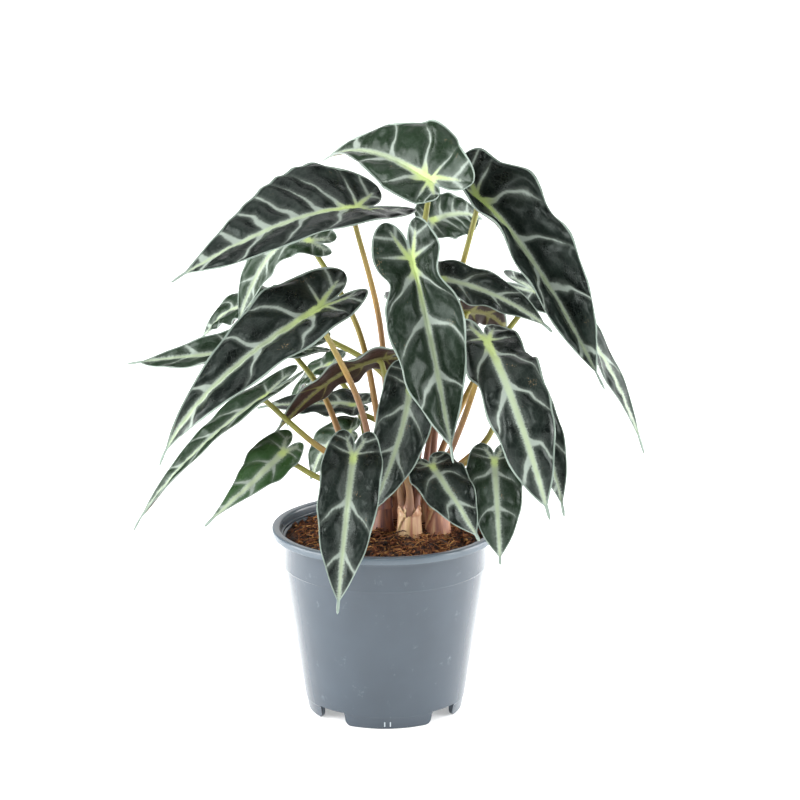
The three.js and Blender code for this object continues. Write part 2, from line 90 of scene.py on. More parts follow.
# %% [markdown]
# ## The helpers
# Colours are written as the sRGB hex values that a colour picker shows, and turned to the linear values that light
# is computed in. One function adds a shader node, whatever its kind: it sets the node's properties, then fills each
# socket with a value, a colour or a link. Nearly every surface here is a stack of colours, each laid over the last
# through a mask, so one function lays such coats. One more turns a finished bmesh into an object that rides on the
# part's body.


# %% Colour, shader nodes and finished pieces
def linear(hex_code):
    """An sRGB hex colour as linear red, green, blue and alpha."""
    channels = [int(hex_code[i : i + 2], 16) / 255 for i in (0, 2, 4)]
    return [c / 12.92 if c <= 0.04045 else ((c + 0.055) / 1.055) ** 2.4 for c in channels] + [1.0]


def add_node(tree, kind, sockets=(), stops=(), **properties):
    """A new shader node. sockets maps a socket's name or number to a value, a hex colour, or what it is linked to,
    which is an output, or a node whose first output is meant. stops holds a colour ramp's places and colours."""
    made = tree.nodes.new("ShaderNode" + kind)
    for name, value in properties.items():
        setattr(made, name, value)
    for _ in stops[2:]:
        made.color_ramp.elements.new(0.5)
    for number, (place, colour) in enumerate(stops):
        made.color_ramp.elements[number].position = place
        made.color_ramp.elements[number].color = linear(colour)
    for socket, value in dict(sockets).items():
        if isinstance(value, bpy.types.Node):
            value = next(output for output in value.outputs if output.enabled)
        if isinstance(value, bpy.types.NodeSocket):
            tree.links.new(value, made.inputs[socket])
        else:
            made.inputs[socket].default_value = linear(value) if isinstance(value, str) else value
    return made


def new_material(name):
    material = bpy.data.materials.new(name)
    material.use_nodes = True
    material.node_tree.nodes.clear()
    return material, material.node_tree


def lay_coats(tree, colour, *coats):
    """Lays coats over a colour, in turn. A coat is a mask and a colour; a colour is a hex code or comes linked."""
    for mask, coat in coats:
        colour = add_node(tree, "Mix", {"Factor": mask, "A": colour, "B": coat}, data_type="RGBA")
    return colour


def finish_surface(tree, **sockets):
    """The surface shader and the output. Spaces in socket names are written as underscores."""
    named = {name.replace("_", " "): value for name, value in sockets.items()}
    add_node(tree, "OutputMaterial", {"Surface": add_node(tree, "BsdfPrincipled", named)})


def finish_piece(bm, name, node, slot, materials, smooth_angle=40):
    """Turns a bmesh into an object that replaces a node of the solid model, and moves with the part's body."""
    mesh = bpy.data.meshes.new(name)
    bm.to_mesh(mesh)
    bm.free()
    for material in materials:
        mesh.materials.append(material)
    mesh.shade_smooth()
    mesh.set_sharp_from_angle(angle=math.radians(smooth_angle))
    piece = bpy.data.objects.new(name, mesh)
    bpy.context.scene.collection.objects.link(piece)
    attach(piece, "root")
    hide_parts(node)
    return piece


print("middle grey in linear light:", [round(channel, 3) for channel in linear("808080")])

# %% [markdown]
# ## Satin pot plastic
# The pot is injection-moulded polypropylene, pigmented grey-blue. Recycled pigment leaves faint clouds in the
# colour, the mould leaves a fine eggshell texture, and handling leaves pale scuffs. The lip is painted a paler
# grey:
# painted light, as if the lamps above fell on it. Its gloss is satin: the eggshell texture spreads each reflection
# into a broad, soft band. The patterns use Object coordinates, which are metres in this frame, so a scale is one
# over the pattern's real size.

# %% Make the pot's plastic
POT_BLUE = "363f48"
POT_BLUE_PALE = "424c56"
# painted light: the lip's paler grey stands in for the light that falls on it from above
LIP_GREY = "525d66"
SCUFF_GREY = "87929a"
GATE_PALE = "c9d2d8"
CLOUD_SIZE = 30 * MM
EGGSHELL_GRAIN = 0.5 * MM
EGGSHELL_DEPTH = 0.1 * MM
SCUFF_SIZE = 9 * MM
TEAR_SIZE = 0.8 * MM
BLEACHED_FROM, BLEACHED_TO = 93 * MM, 96 * MM  # heights between which the colour turns to the lip's


def pot_plastic():
    material, tree = new_material("moulded polypropylene, grey-blue")
    place = add_node(tree, "TexCoord").outputs["Object"]
    clouds = add_node(tree, "TexNoise", {"Vector": place, "Scale": 1 / CLOUD_SIZE, "Detail": 3})
    rubbed = add_node(tree, "TexNoise", {"Vector": place, "Scale": 1 / SCUFF_SIZE, "Detail": 6, "Roughness": 0.7})
    scuffs = add_node(tree, "MapRange", {"Value": rubbed, "From Min": 0.62, "From Max": 0.78, "To Max": 0.3})
    height = add_node(tree, "SeparateXYZ", {0: place}).outputs["Z"]
    # painted light: above these heights the colour turns to the lip's paler grey, as if lit from above
    lip = add_node(tree, "MapRange", {"Value": height, "From Min": BLEACHED_FROM, "From Max": BLEACHED_TO})
    colour = lay_coats(tree, POT_BLUE, (clouds, POT_BLUE_PALE), (scuffs, SCUFF_GREY), (lip, LIP_GREY))
    grain = add_node(tree, "TexNoise", {"Vector": place, "Scale": 1 / EGGSHELL_GRAIN, "Detail": 2})
    relief = add_node(tree, "Bump", {"Height": grain, "Strength": 0.12, "Distance": EGGSHELL_DEPTH})
    gloss = add_node(tree, "MapRange", {"Value": rubbed, "To Min": 0.16, "To Max": 0.32})
    finish_surface(tree, Base_Color=colour, Roughness=gloss, Normal=relief, IOR=1.49)
    return material


def gate_plastic():
    """The same plastic where it tore off the mould's gate: stretched pale, and rough."""
    material, tree = new_material("stress-whitened polypropylene")
    place = add_node(tree, "TexCoord").outputs["Object"]
    torn = add_node(tree, "TexNoise", {"Vector": place, "Scale": 1 / TEAR_SIZE, "Detail": 3})
    finish_surface(tree, Base_Color=lay_coats(tree, SCUFF_GREY, (torn, GATE_PALE)), Roughness=0.6)
    return material


pot_materials = [pot_plastic(), gate_plastic()]
print("made:", [material.name for material in pot_materials])

# %% [markdown]
# ## The nursery pot
# A round pot is a turned shape, so it could be made from a cylinder or as a profile spun about its axis. The spin
# is used, because one outline then gives the rolled lip, the collar's faint step, the tapered wall and the floor
# together. Its corners are rounded first, since a moulded edge always has a small radius that catches the light.
# The slots between the four feet, with their round corners, and the drain holes are cut from it afterwards.

# %% Draw the pot's outline
POT_HEIGHT = 100
LIP_RADIUS = 60
LIP_HEIGHT = 4
MOUTH_RADIUS = 55.5
COLLAR_RADIUS = 54
COLLAR_DEPTH = 21
COLLAR_STEP = 0.5
FOOT_RADIUS = 41.3
POT_WALL = 1.5
FOOT_HEIGHT = 7.5
FOOT_LEDGE = 0.4
FOOT_WALL = 2.4
POT_FLOOR = 2
POT_SIDES = 192


def wall_radius(height):
    """Outside radius of the pot's tapered wall, in millimetres, at a height below the collar."""
    upper = COLLAR_RADIUS - COLLAR_STEP
    return FOOT_RADIUS + (upper - FOOT_RADIUS) * min(1, height / (POT_HEIGHT - COLLAR_DEPTH))


def rounded_outline(corners, steps=4):
    """Replaces each corner (radius, height, rounding) by an arc, and returns plain points."""
    points = []
    for i, (x, z, rounding) in enumerate(corners):
        corner = Vector((x, z))
        if rounding == 0:
            points.append(corner)
            continue
        before = Vector(corners[i - 1][:2]) - corner
        after = Vector(corners[i + 1][:2]) - corner
        start = corner + before.normalized() * min(rounding, before.length * 0.45)
        end = corner + after.normalized() * min(rounding, after.length * 0.45)
        for step in range(steps + 1):
            t = step / steps
            points.append(start * (1 - t) ** 2 + corner * 2 * t * (1 - t) + end * t**2)
    return points


def pot_outline():
    collar_foot = POT_HEIGHT - COLLAR_DEPTH
    under_lip = POT_HEIGHT - LIP_HEIGHT
    floor_top = FOOT_HEIGHT + POT_FLOOR
    inside = COLLAR_RADIUS - POT_WALL
    return rounded_outline(
        [
            (0, FOOT_HEIGHT, 0),
            (FOOT_RADIUS - FOOT_WALL, FOOT_HEIGHT, 1),
            (FOOT_RADIUS - FOOT_WALL, 0, 0.8),
            (FOOT_RADIUS - FOOT_LEDGE, 0, 0.8),
            (wall_radius(FOOT_HEIGHT) - FOOT_LEDGE, FOOT_HEIGHT - 1.2, 0.2),
            (wall_radius(FOOT_HEIGHT), FOOT_HEIGHT - 0.7, 0.3),
            (wall_radius(collar_foot), collar_foot, 0.4),
            (COLLAR_RADIUS, collar_foot + COLLAR_STEP, 0.4),
            (COLLAR_RADIUS, under_lip, 0.6),
            (LIP_RADIUS, under_lip, 0.8),
            (LIP_RADIUS, POT_HEIGHT, 1.3),
            (MOUTH_RADIUS, POT_HEIGHT, 1.6),
            (MOUTH_RADIUS - 0.6, under_lip - 1, 1.2),
            (inside, under_lip - 2, 0.8),
            (inside, collar_foot, 0),
            (wall_radius(floor_top) - POT_WALL, floor_top, 1),
            (0, floor_top, 0),
        ]
    )


def spin_outline(bm, outline, sides):
    """Spins (radius, height) points in millimetres about the Z axis, and closes the seam and the poles."""
    verts = [bm.verts.new((p.x * MM, 0, p.y * MM)) for p in outline]
    edges = [bm.edges.new(pair) for pair in zip(verts, verts[1:])]
    bmesh.ops.spin(
        bm,
        geom=verts + edges,
        cent=(0, 0, 0),
        axis=(0, 0, 1),
        angle=math.tau,
        steps=sides,
        use_merge=True,
    )
    bmesh.ops.remove_doubles(bm, verts=bm.verts, dist=0.002 * MM)
    bmesh.ops.recalc_face_normals(bm, faces=bm.faces)


print("pot's outline:", len(pot_outline()), "points, mouth", 2 * MOUTH_RADIUS, "mm across")

# %% Cut the slots and drain holes
FOOT_GAP = 17
FOOT_CORNER = 3.5
FOOT_CORNER_STEPS = 6
FOOT_TURN = 3  # degrees that the feet are turned from the camera
SLOT_FROM = 25  # millimetres from the axis where a slot starts
SLOT_REACH = 25
DRAIN_HOLES = 8
DRAIN_RADIUS = 4
DRAIN_RING = 27


def foot_slot(bm, turn):
    """A cutter for the slot between two feet: a slab whose lower edges flare out in quarter circles."""
    half = FOOT_GAP / 2
    profile = [Vector((half + FOOT_CORNER, -1)), Vector((half + FOOT_CORNER, 0))]
    for step in range(1, FOOT_CORNER_STEPS + 1):
        angle = math.pi / 2 * step / FOOT_CORNER_STEPS
        reach = half + FOOT_CORNER * (1 - math.sin(angle))
        profile.append(Vector((reach, FOOT_CORNER * (1 - math.cos(angle)))))
    profile.append(Vector((half, FOOT_HEIGHT - 0.05)))
    both = profile + [Vector((-p.x, p.y)) for p in reversed(profile)]
    verts = [bm.verts.new((p.x * MM, -SLOT_FROM * MM, p.y * MM)) for p in both]
    face = bm.faces.new(verts)
    grown = bmesh.ops.extrude_face_region(bm, geom=[face])["geom"]
    far = [e for e in grown if isinstance(e, bmesh.types.BMVert)]
    bmesh.ops.translate(bm, verts=far, vec=(0, -SLOT_REACH * MM, 0))
    bmesh.ops.rotate(bm, verts=verts + far, cent=(0, 0, 0), matrix=Matrix.Rotation(turn, 3, "Z"))


def cut_pot(pot_bm):
    """Takes the four slots and the drain holes out of the pot's bmesh, and returns a new bmesh."""
    cutter_bm = bmesh.new()
    for foot in range(4):
        foot_slot(cutter_bm, math.radians(FOOT_TURN + 45 + 90 * foot))
    for hole in range(DRAIN_HOLES):
        turn = math.tau * hole / DRAIN_HOLES
        place = Vector((math.cos(turn), math.sin(turn), 0)) * DRAIN_RING * MM
        place.z = (FOOT_HEIGHT + POT_FLOOR / 2) * MM
        bmesh.ops.create_cone(
            cutter_bm,
            cap_ends=True,
            segments=32,
            radius1=DRAIN_RADIUS * MM,
            radius2=DRAIN_RADIUS * MM,
            depth=3 * POT_FLOOR * MM,
            matrix=Matrix.Translation(place),
        )
    bmesh.ops.recalc_face_normals(cutter_bm, faces=cutter_bm.faces)
    objects = []
    for source in (pot_bm, cutter_bm):
        mesh = bpy.data.meshes.new("cutting")
        source.to_mesh(mesh)
        source.free()
        made = bpy.data.objects.new("cutting", mesh)
        bpy.context.scene.collection.objects.link(made)
        objects.append(made)
    pot, cutter = objects
    cut = pot.modifiers.new("cut", "BOOLEAN")
    cut.object = cutter
    cut.operation = "DIFFERENCE"
    cut.solver = "EXACT"
    result = bmesh.new()
    result.from_object(pot, bpy.context.evaluated_depsgraph_get())
    for made in objects:
        bpy.data.objects.remove(made)
    return result


print("cutters:", 4, "slots and", DRAIN_HOLES, "drain holes")

# %% Build the pot
GATE_MARK = Vector((0.6, 0.4, 3.6))  # width, depth and height of each pale moulding mark
GATE_HEIGHT = 3.4
GATE_OFFSET = 1.5  # millimetres from the front foot's middle


def build_pot():
    bm = bmesh.new()
    spin_outline(bm, pot_outline(), POT_SIDES)
    bm = cut_pot(bm)
    turn = Matrix.Rotation(math.radians(FOOT_TURN - 1), 3, "Z")
    for side in (-1, 1):
        mark = bmesh.ops.create_cube(bm, size=MM)["verts"]
        for face in {face for vert in mark for face in vert.link_faces}:
            face.material_index = 1
        bmesh.ops.scale(bm, verts=mark, vec=GATE_MARK)
        reach = Vector((side * GATE_OFFSET, FOOT_LEDGE - wall_radius(GATE_HEIGHT), GATE_HEIGHT)) * MM
        bmesh.ops.translate(bm, verts=mark, vec=reach)
        bmesh.ops.rotate(bm, verts=mark, cent=(0, 0, 0), matrix=turn)
    return finish_piece(bm, "nursery_pot", "pot", "pot_plastic", pot_materials, 35)


pot_piece = build_pot()
print("pot:", len(pot_piece.data.polygons), "faces")

# %% [markdown]
# ## Potting mix
# The pot is filled with coir and bark: a dark crumb, with reddish fibres and tan chips on top. The crumb is a
# turned block whose top is raised by noise. The fibres could be hair, but the exported model is made of meshes. So
# fibres and chips are copies of a few small shapes, dropped on the block with a seeded random draw. Each copy
# carries a tone of its own, which the material turns into a colour. The mix is matt, and takes the light without
# any shine.

# %% Make the potting mix
MIX_DARK = "1c0f08"
MIX_BROWN = "74401e"
MIX_TAN = "b3874e"
CRUMB_SIZE = 2.6 * MM
CRUMB_DEPTH = 0.5 * MM


def potting_mix():
    material, tree = new_material("coir and bark potting mix")
    place = add_node(tree, "TexCoord").outputs["Object"]
    tone = add_node(tree, "Attribute", attribute_name="tone").outputs["Fac"]
    crumb = add_node(tree, "TexNoise", {"Vector": place, "Scale": 1 / CRUMB_SIZE, "Detail": 6, "Roughness": 0.7})
    mixed = add_node(tree, "Math", {0: crumb, 1: tone}, operation="ADD")
    colour = add_node(tree, "ValToRGB", {"Fac": mixed}, [(0.46, MIX_DARK), (0.68, MIX_BROWN), (0.98, MIX_TAN)])
    relief = add_node(tree, "Bump", {"Height": crumb, "Strength": 0.8, "Distance": CRUMB_DEPTH})
    finish_surface(tree, Base_Color=colour, Roughness=0.9, Normal=relief)
    return material


mix_material = potting_mix()
print("made:", mix_material.name)

# %% Raise the soil's top
SOIL_EDGE = 94
SOIL_MOUND = 4.5
SOIL_GRAIN = 1.1
SOIL_LUMP = 3.5
SOIL_RADIUS = COLLAR_RADIUS - POT_WALL - 0.1
SOIL_GAP = 0.3
SOIL_RINGS = 70
SOIL_SIDES = 220
CRUMB_HEIGHT = 3.0
CRUMB_WIDTH = 5


def soil_height(x, y):
    """Height of the soil's top in millimetres, the same lumps as in the solid model."""
    out = math.hypot(x, y) / (COLLAR_RADIUS - POT_WALL)
    lumps = math.sin(x / SOIL_LUMP) * math.cos(y / SOIL_LUMP) + math.sin((x - y) / (2 * SOIL_LUMP)) / 2
    return SOIL_EDGE + SOIL_MOUND * (1 - out * out) + SOIL_GRAIN * lumps


def soil_block():
    """The block of soil: a spun outline whose top rings are raised to the lumps and to fine crumbs."""
    bm = bmesh.new()
    bottom = FOOT_HEIGHT + POT_FLOOR + SOIL_GAP
    outline = [Vector((0, bottom)), Vector((wall_radius(bottom) - POT_WALL - SOIL_GAP, bottom))]
    outline.append(Vector((SOIL_RADIUS, POT_HEIGHT - COLLAR_DEPTH)))
    outline += [Vector((SOIL_RADIUS * (1 - ring / SOIL_RINGS), SOIL_EDGE)) for ring in range(SOIL_RINGS + 1)]
    spin_outline(bm, outline, SOIL_SIDES)
    for vert in bm.verts:
        if vert.co.z > (SOIL_EDGE - 1) * MM:
            x, y = vert.co.x / MM, vert.co.y / MM
            crumbs = noise.fractal(Vector((x, y, 0)) / CRUMB_WIDTH, 0.8, 2.2, 4)
            vert.co.z = (soil_height(x, y) + CRUMB_HEIGHT * crumbs) * MM
    return bm


print("soil's top:", round(soil_height(0, 0), 1), "mm in the middle,", SOIL_EDGE, "mm at the wall")

# %% Scatter fibres and chips
FIBRES = 1700
CHIPS = 700
FIBRE_LENGTH = (2.5, 8)
CHIP_SIZE = (1, 4)
FIBRE_TONE = (-0.05, 0.4)
CHIP_TONE = (0.0, 0.42)
TILT = 0.35  # radians that fibres and chips are tilted, as a spread


def fibre_shape(bend):
    """A short bent fibre, lying along X, one millimetre long before it is scaled."""
    bm = bmesh.new()
    lying = Matrix.Rotation(math.pi / 2, 4, "Y")
    bmesh.ops.create_cone(bm, cap_ends=True, segments=4, radius1=0.05, radius2=0.02, depth=1, matrix=lying)
    long_edges = [e for e in bm.edges if abs(e.verts[0].co.x - e.verts[1].co.x) > 0.5]
    bmesh.ops.subdivide_edges(bm, edges=long_edges, cuts=4)
    for vert in bm.verts:
        vert.co.z += bend * (0.25 - vert.co.x**2)
        vert.co.y += bend * 0.6 * math.sin(vert.co.x * 4)
    return bm


def chip_shape():
    """A flat, irregular chip of bark, one millimetre across before it is scaled."""
    bm = bmesh.new()
    bmesh.ops.create_icosphere(bm, subdivisions=1, radius=0.5)
    noise.seed_set(7)  # without a seed, noise_vector takes one from the clock
    for vert in bm.verts:
        vert.co += 0.28 * noise.noise_vector(vert.co * 3)
    bmesh.ops.scale(bm, verts=bm.verts, vec=(1, 0.7, 0.35))
    return bm


def add_copy(bm, template, matrix, tone):
    """Adds a transformed copy of a template mesh, with its tone, to the bmesh."""
    copy = template.copy()
    copy.transform(matrix)
    copy.attributes.new("tone", "FLOAT", "POINT").data.foreach_set("value", [tone] * len(copy.vertices))
    bm.from_mesh(copy)
    bpy.data.meshes.remove(copy)


def template_mesh(bm):
    mesh = bpy.data.meshes.new("template")
    bm.to_mesh(mesh)
    bm.free()
    return mesh


def build_soil():
    draw = random.Random(7)
    bm = soil_block()
    bm.verts.layers.float.new("tone")
    shapes = [template_mesh(fibre_shape(bend)) for bend in (0.15, 0.5, 0.9)] + [template_mesh(chip_shape())]
    for count in range(FIBRES + CHIPS):
        radius = (SOIL_RADIUS - 1.5) * math.sqrt(draw.random())
        angle = draw.uniform(0, math.tau)
        x, y = radius * math.cos(angle), radius * math.sin(angle)
        is_chip = count >= FIBRES
        size = draw.uniform(*(CHIP_SIZE if is_chip else FIBRE_LENGTH))
        tilt = draw.gauss(0, TILT)
        place = Vector((x, y, soil_height(x, y) + 0.3 + 0.12 * size)) * MM
        if radius + size > SOIL_RADIUS:
            continue
        turn = Matrix.Rotation(draw.uniform(0, math.tau), 4, "Z") @ Matrix.Rotation(tilt, 4, "Y")
        matrix = Matrix.Translation(place) @ turn @ Matrix.Scale(size * MM, 4)
        tone = draw.uniform(*(CHIP_TONE if is_chip else FIBRE_TONE))
        add_copy(bm, shapes[3 if is_chip else count % 3], matrix, tone)
    for shape in shapes:
        bpy.data.meshes.remove(shape)
    return finish_piece(bm, "potting_mix", "soil", "potting_soil", [mix_material], 50)


soil_piece = build_soil()
print("potting mix:", len(soil_piece.data.polygons), "faces")

# %% [markdown]
# ## Where the leaves are
# Each leaf is one row of places in millimetres, the same as in the solid model: the petiole's end, a point that
# bends the midrib, the drip tip, the way that the upper side faces, and how wide, folded, curled, twisted and waved
# the blade is. A pair of values is for its two halves. lobes and narrow draw the lobe and the taper of a half out
# or in, and waist pinches the blade. young is 1 for a leaf that is still fresh green, and 0 for a dark one. first
# and step say where the lateral veins leave the midrib, as shares of its length. A table like this is chosen over
# modelling each leaf by hand, because every leaf then grows by the same rule.

# %% List the shoots and leaves
SHOOTS = {
    "left": dict(at=(-2, -6), tall=18.5, tone=0.8),
    "middle": dict(at=(13, -11), tall=15.5, tone=0.15),
    "right": dict(at=(28, -6), tall=17.5, tone=0.45),
    "back_left": dict(at=(5, 8.5), tall=21.5, tone=0.5),
    "back_right": dict(at=(21, 9), tall=20.5, tone=0.3),
    "outer_left": dict(at=(-11.5, 6), tall=16.5, tone=0.65),
}
LEAVES = {}


def leaf(
    name, base, bend, tip, face, half, wave, shoot, seat, via, fold=(10, 10), curl=(-15, -15), twist=0,
    lobes=(1, 1), narrow=(1.35, 1.35), phase=None, waist=0.0, young=0.0, first=(0.13, 0.15), step=(0.29, 0.31),
):
    """Notes one leaf: where its blade lies, and which seat of which shoot its stalk leaves."""
    row = dict(locals())
    for key in ("base", "bend", "tip", "face", "via"):
        row[key] = Vector(row[key])
    row["phase"] = half[0] if phase is None else phase
    LEAVES[name] = row


leaf(
    "top", (21.9, -30, 292.7), (-12.5, 12.6, 307.9), (-33, 52, 286), (-0.77, -0.88, 0.69),
    half=(27.5, 18.5), fold=(7, 36), curl=(-11, -20), twist=26, wave=3.2, lobes=(1.65, 0.75),
    narrow=(0.63, 0.6), phase=23.4, shoot="back_right", seat=1, via=(13, 5, 200), young=0.2,
    first=(0.03, 0.03), step=(0.27, 0.3),
)
leaf(
    "upper_left", (-15.5, -8, 272.8), (-51.5, -33.1, 276.3), (-109, -36, 240), (-0.36, -0.73, 0.7),
    half=(34.6, 25.6), fold=(-6, 32), curl=(15, -13), twist=1, wave=0.6, lobes=(1.14, 1.7),
    narrow=(0.76, 2.53), phase=24.8, shoot="left", seat=3, via=(-2, 4, 205), first=(0.05, 0.07),
    step=(0.125, 0.2),
)
leaf(
    "upper_right", (48.8, -6, 276.6), (76.5, -25.9, 257.8), (113, -46, 186), (0.48, -0.85, 0.6),
    half=(19.6, 28.1), fold=(42, 42), curl=(12, 15), twist=40, wave=4.5, lobes=(1.1, 0.85),
    narrow=(1.74, 1.83), phase=9.8, shoot="right", seat=2, via=(33, 4, 205), first=(0.1, 0.02),
    step=(0.3, 0.22),
)
leaf(
    "centre_front", (14.8, -43, 251.5), (24, -59, 218), (35, -78, 156), (-0.25, -1.09, 0.45),
    half=(23.6, 23), fold=(26, 35), curl=(-1, -8), twist=-40, wave=4, lobes=(1.2, 1.05),
    narrow=(2.55, 1.1), phase=23, waist=0.34, shoot="middle", seat=2, via=(14, -1, 188), young=0.12,
    first=(0.04, 0.03), step=(0.24, 0.24),
)
leaf(
    "left_front", (-34.4, -36, 225.5), (-95.5, -97, 201.9), (-114, -72, 153), (-0.15, -0.98, 0.6),
    half=(23.8, 19.3), fold=(4, 42), curl=(0, -40), twist=4, wave=2, lobes=(1.25, 1.2), narrow=(0.6, 1.57),
    phase=23.6, shoot="left", seat=2, via=(-13, -15, 170), first=(0.07, 0.05), step=(0.24, 0.29),
)
leaf(
    "right_front", (52.9, -44, 210.2), (67.9, -105, 191.2), (84, -82, 127), (0.23, -0.8, 0.4),
    half=(14.7, 21.3), fold=(-7, -5), curl=(-40, -7), twist=18, wave=3.3, lobes=(1.3, 0.8),
    narrow=(2.59, 1.32), phase=14.3, shoot="right", seat=0, via=(42, -18, 165), first=(0.04, 0.06),
    step=(0.28, 0.24),
)
leaf(
    "right_behind", (64, -20, 185), (84, -42, 165), (93, -46, 118), (0.2, -0.9, 0.4),
    half=(13, 13), fold=(20, 20), wave=2.2, shoot="right", seat=3, via=(54, -8, 150),
)
leaf(
    "rim_front", (-16, -52, 151), (-20, -86, 127), (-24, -79, 76), (0, -0.9, 0.45),
    half=(16, 16), fold=(15, 15), wave=2.2, shoot="left", seat=0, via=(-13, -35, 139), first=(0.29, 0.29),
    step=(0.32, 0.32),
)
leaf(
    "middle_low", (13, -24, 181), (11, -40, 160), (-9, -38, 113), (0, -0.9, 0.4),
    half=(15, 15), fold=(20, 20), wave=2.2, shoot="middle", seat=0, via=(8, -18, 150),
)
leaf(
    "rim_middle", (25, -34, 141), (36, -59, 132), (49, -56, 108), (0.2, -0.8, 0.5),
    half=(15, 14), wave=1.4, shoot="middle", seat=4, via=(23, -26, 132), first=(0.13, 0.13),
    step=(0.36, 0.4),
)
leaf(
    "rim_right", (57, -30, 143), (58, -54, 126), (60, -46, 92), (0.1, -0.9, 0.4),
    half=(15, 14), wave=1.4, shoot="right", seat=4, via=(47, -16, 142), young=0.15, first=(0.08, 0.1),
    step=(0.36, 0.34),
)
leaf(
    "young_left", (-53, -26, 146.9), (-69.9, -47.7, 135), (-93, -50, 114), (-0.07, -0.81, 0.6),
    half=(15, 9.6), fold=(-6, -5), curl=(-4, -27), twist=33, wave=0.9, lobes=(1.39, 1.07),
    narrow=(0.67, 0.64), phase=10.3, shoot="left", seat=1, via=(-30, -20, 130), young=0.9,
    first=(0.15, 0.15), step=(0.27, 0.27),
)
leaf(
    "pale_left", (-62.4, -20, 175.2), (-107.4, -40.2, 148.5), (-130, -44, 110), (-0.44, -0.51, 0.8),
    half=(15.5, 9.1), fold=(-3, 35), curl=(-9, -24), twist=-2, wave=0.8, lobes=(1.43, 1.38),
    narrow=(0.62, 1.88), phase=11.2, shoot="outer_left", seat=0, via=(-40, -20, 153), young=0.25,
    step=(0.2, 0.24),
)
leaf(
    "far_left", (-48.1, 14, 193), (-79, 4.9, 193.9), (-137, 24, 182), (0.05, -0.56, 0.9),
    half=(16.3, 16.1), fold=(34, 24), curl=(-6, 12), twist=-10, wave=2.4, lobes=(1.2, 0.98),
    narrow=(0.71, 3.04), phase=15, waist=0.11, shoot="outer_left", seat=1, via=(-33, 10, 170), young=0.2,
    step=(0.2, 0.22),
)
leaf(
    "back_left", (-40, 24, 249), (-63, 30, 254), (-79, 38, 198), (-0.3, -0.8, 0.6),
    half=(12, 9), wave=1.6, shoot="back_left", seat=1, via=(-14, 8, 205), young=0.3, step=(0.2, 0.22),
)
leaf(
    "rear_left", (-66, 58, 206), (-87, 74, 205), (-101, 82, 180), (-0.3, -0.4, 0.85),
    half=(15, 15), wave=2.2, shoot="back_left", seat=3, via=(2, 34, 170), young=0.2,
)
leaf(
    "rear_right", (81, 28, 220), (114, 40, 204), (140, 44, 127), (0.7, -0.6, 0.5),
    half=(11, 9), wave=2.2, shoot="back_right", seat=4, via=(50, 16, 180),
)
leaf(
    "maroon_back", (-2, -11, 194), (-33, -12, 188), (-59, -8, 150), (-0.2, 0.6, 0.7),
    half=(12, 12), fold=(0, 0), wave=2.2, shoot="middle", seat=1, via=(6, -10, 160),
)
leaf(
    "inner_left", (-17, 22, 160), (-43, 33, 159), (-69, 38, 154), (0, -0.4, 0.9),
    half=(11, 11), wave=1.4, shoot="back_left", seat=2, via=(1, 25, 146),
)
leaf(
    "inner_right", (30, -11, 236), (63, -18, 231), (87, -20, 210), (0.2, -0.7, 0.7),
    half=(11, 12), wave=2.2, shoot="middle", seat=3, via=(22, -4, 180),
)
leaf(
    "olive_right", (42, 14, 213), (58, 17, 215), (65, 19, 200), (0.1, 0.85, 0.45),
    half=(9, 10), fold=(0, 0), wave=1.4, shoot="back_right", seat=0, via=(28, 10, 165),
)
leaf(
    "top_back", (25.4, 30, 258.5), (41, 46, 262), (52, 64, 252), (-0.1, -0.85, 0.5),
    half=(15, 14), wave=1.2, shoot="back_right", seat=3, via=(23, 18, 190), young=0.2, step=(0.2, 0.22),
)
leaf(
    "pale_inner", (-30, 50, 175), (-46, 70, 167), (-54, 74, 134), (-0.4, -0.3, 0.8),
    half=(12, 12), wave=1.4, shoot="outer_left", seat=3, via=(-14, 38, 152), young=0.4,
)
leaf(
    "lower_back", (-20, 20, 145), (-32, 24, 142), (-40, 28, 117), (0, -0.5, 0.8),
    half=(12, 12), wave=1.4, shoot="outer_left", seat=4, via=(-13, 10, 132), young=0.35,
)
leaf(
    "rear_high", (18, 51, 212), (22, 83, 214), (26, 88, 156), (0, 0.5, 0.8),
    half=(20, 20), wave=2.2, shoot="back_right", seat=2, via=(17, 22, 170),
)
print("leaves:", len(LEAVES), "on", len(SHOOTS), "shoots")

# %% [markdown]
# ## The blade's form
# A blade is a flat sheet bent over its midrib. The midrib is a curve, and every other point is reached from it by
# going out to the side, up by the fold, and up or down by the wave along the margin. It could be sculpted, but a
# plain grid can be laid on such a form, with one side on the midrib and on the lobe's inner edge, and the other on
# the margin. Each half gets its own grid.

# %% Follow the midrib
BLADE_THICKNESS = 0.8
WIDEST = 0.14  # share of the length where the outline is widest
TAPER = 0.78
DRIP = 0.05  # how much of the width is still there where the drip tip starts
SINUS = 0.07  # depth of the notch between the lobes, as a share of the length
LOBE = 0.2  # how far the lobes reach behind the petiole, likewise
LOBE_SPREAD = 0.42
WAVES = 3.4
OFF_BEAT = 1.9  # how far the two margins' waves are apart, in radians
SAMPLES = 200
FRAME_STEP = 0.004


def even_steps(points):
    """Running lengths along a list of points, for stepping along it evenly."""
    lengths = [0.0]
    for a, b in zip(points, points[1:]):
        lengths.append(lengths[-1] + (b - a).length)
    return lengths


def point_at(points, lengths, share):
    """The point at a share of a sampled curve's length."""
    goal = share * lengths[-1]
    low = 0
    high = len(points) - 1
    while high - low > 1:
        middle = (low + high) // 2
        if lengths[middle] <= goal:
            low = middle
        else:
            high = middle
    span = lengths[high] - lengths[low]
    return points[low].lerp(points[high], (goal - lengths[low]) / span if span else 0)


def midrib_curve(row):
    points = []
    for i in range(SAMPLES + 1):
        t = i / SAMPLES
        points.append(row["base"] * (1 - t) ** 2 + row["bend"] * 2 * t * (1 - t) + row["tip"] * t**2)
    return points, even_steps(points)


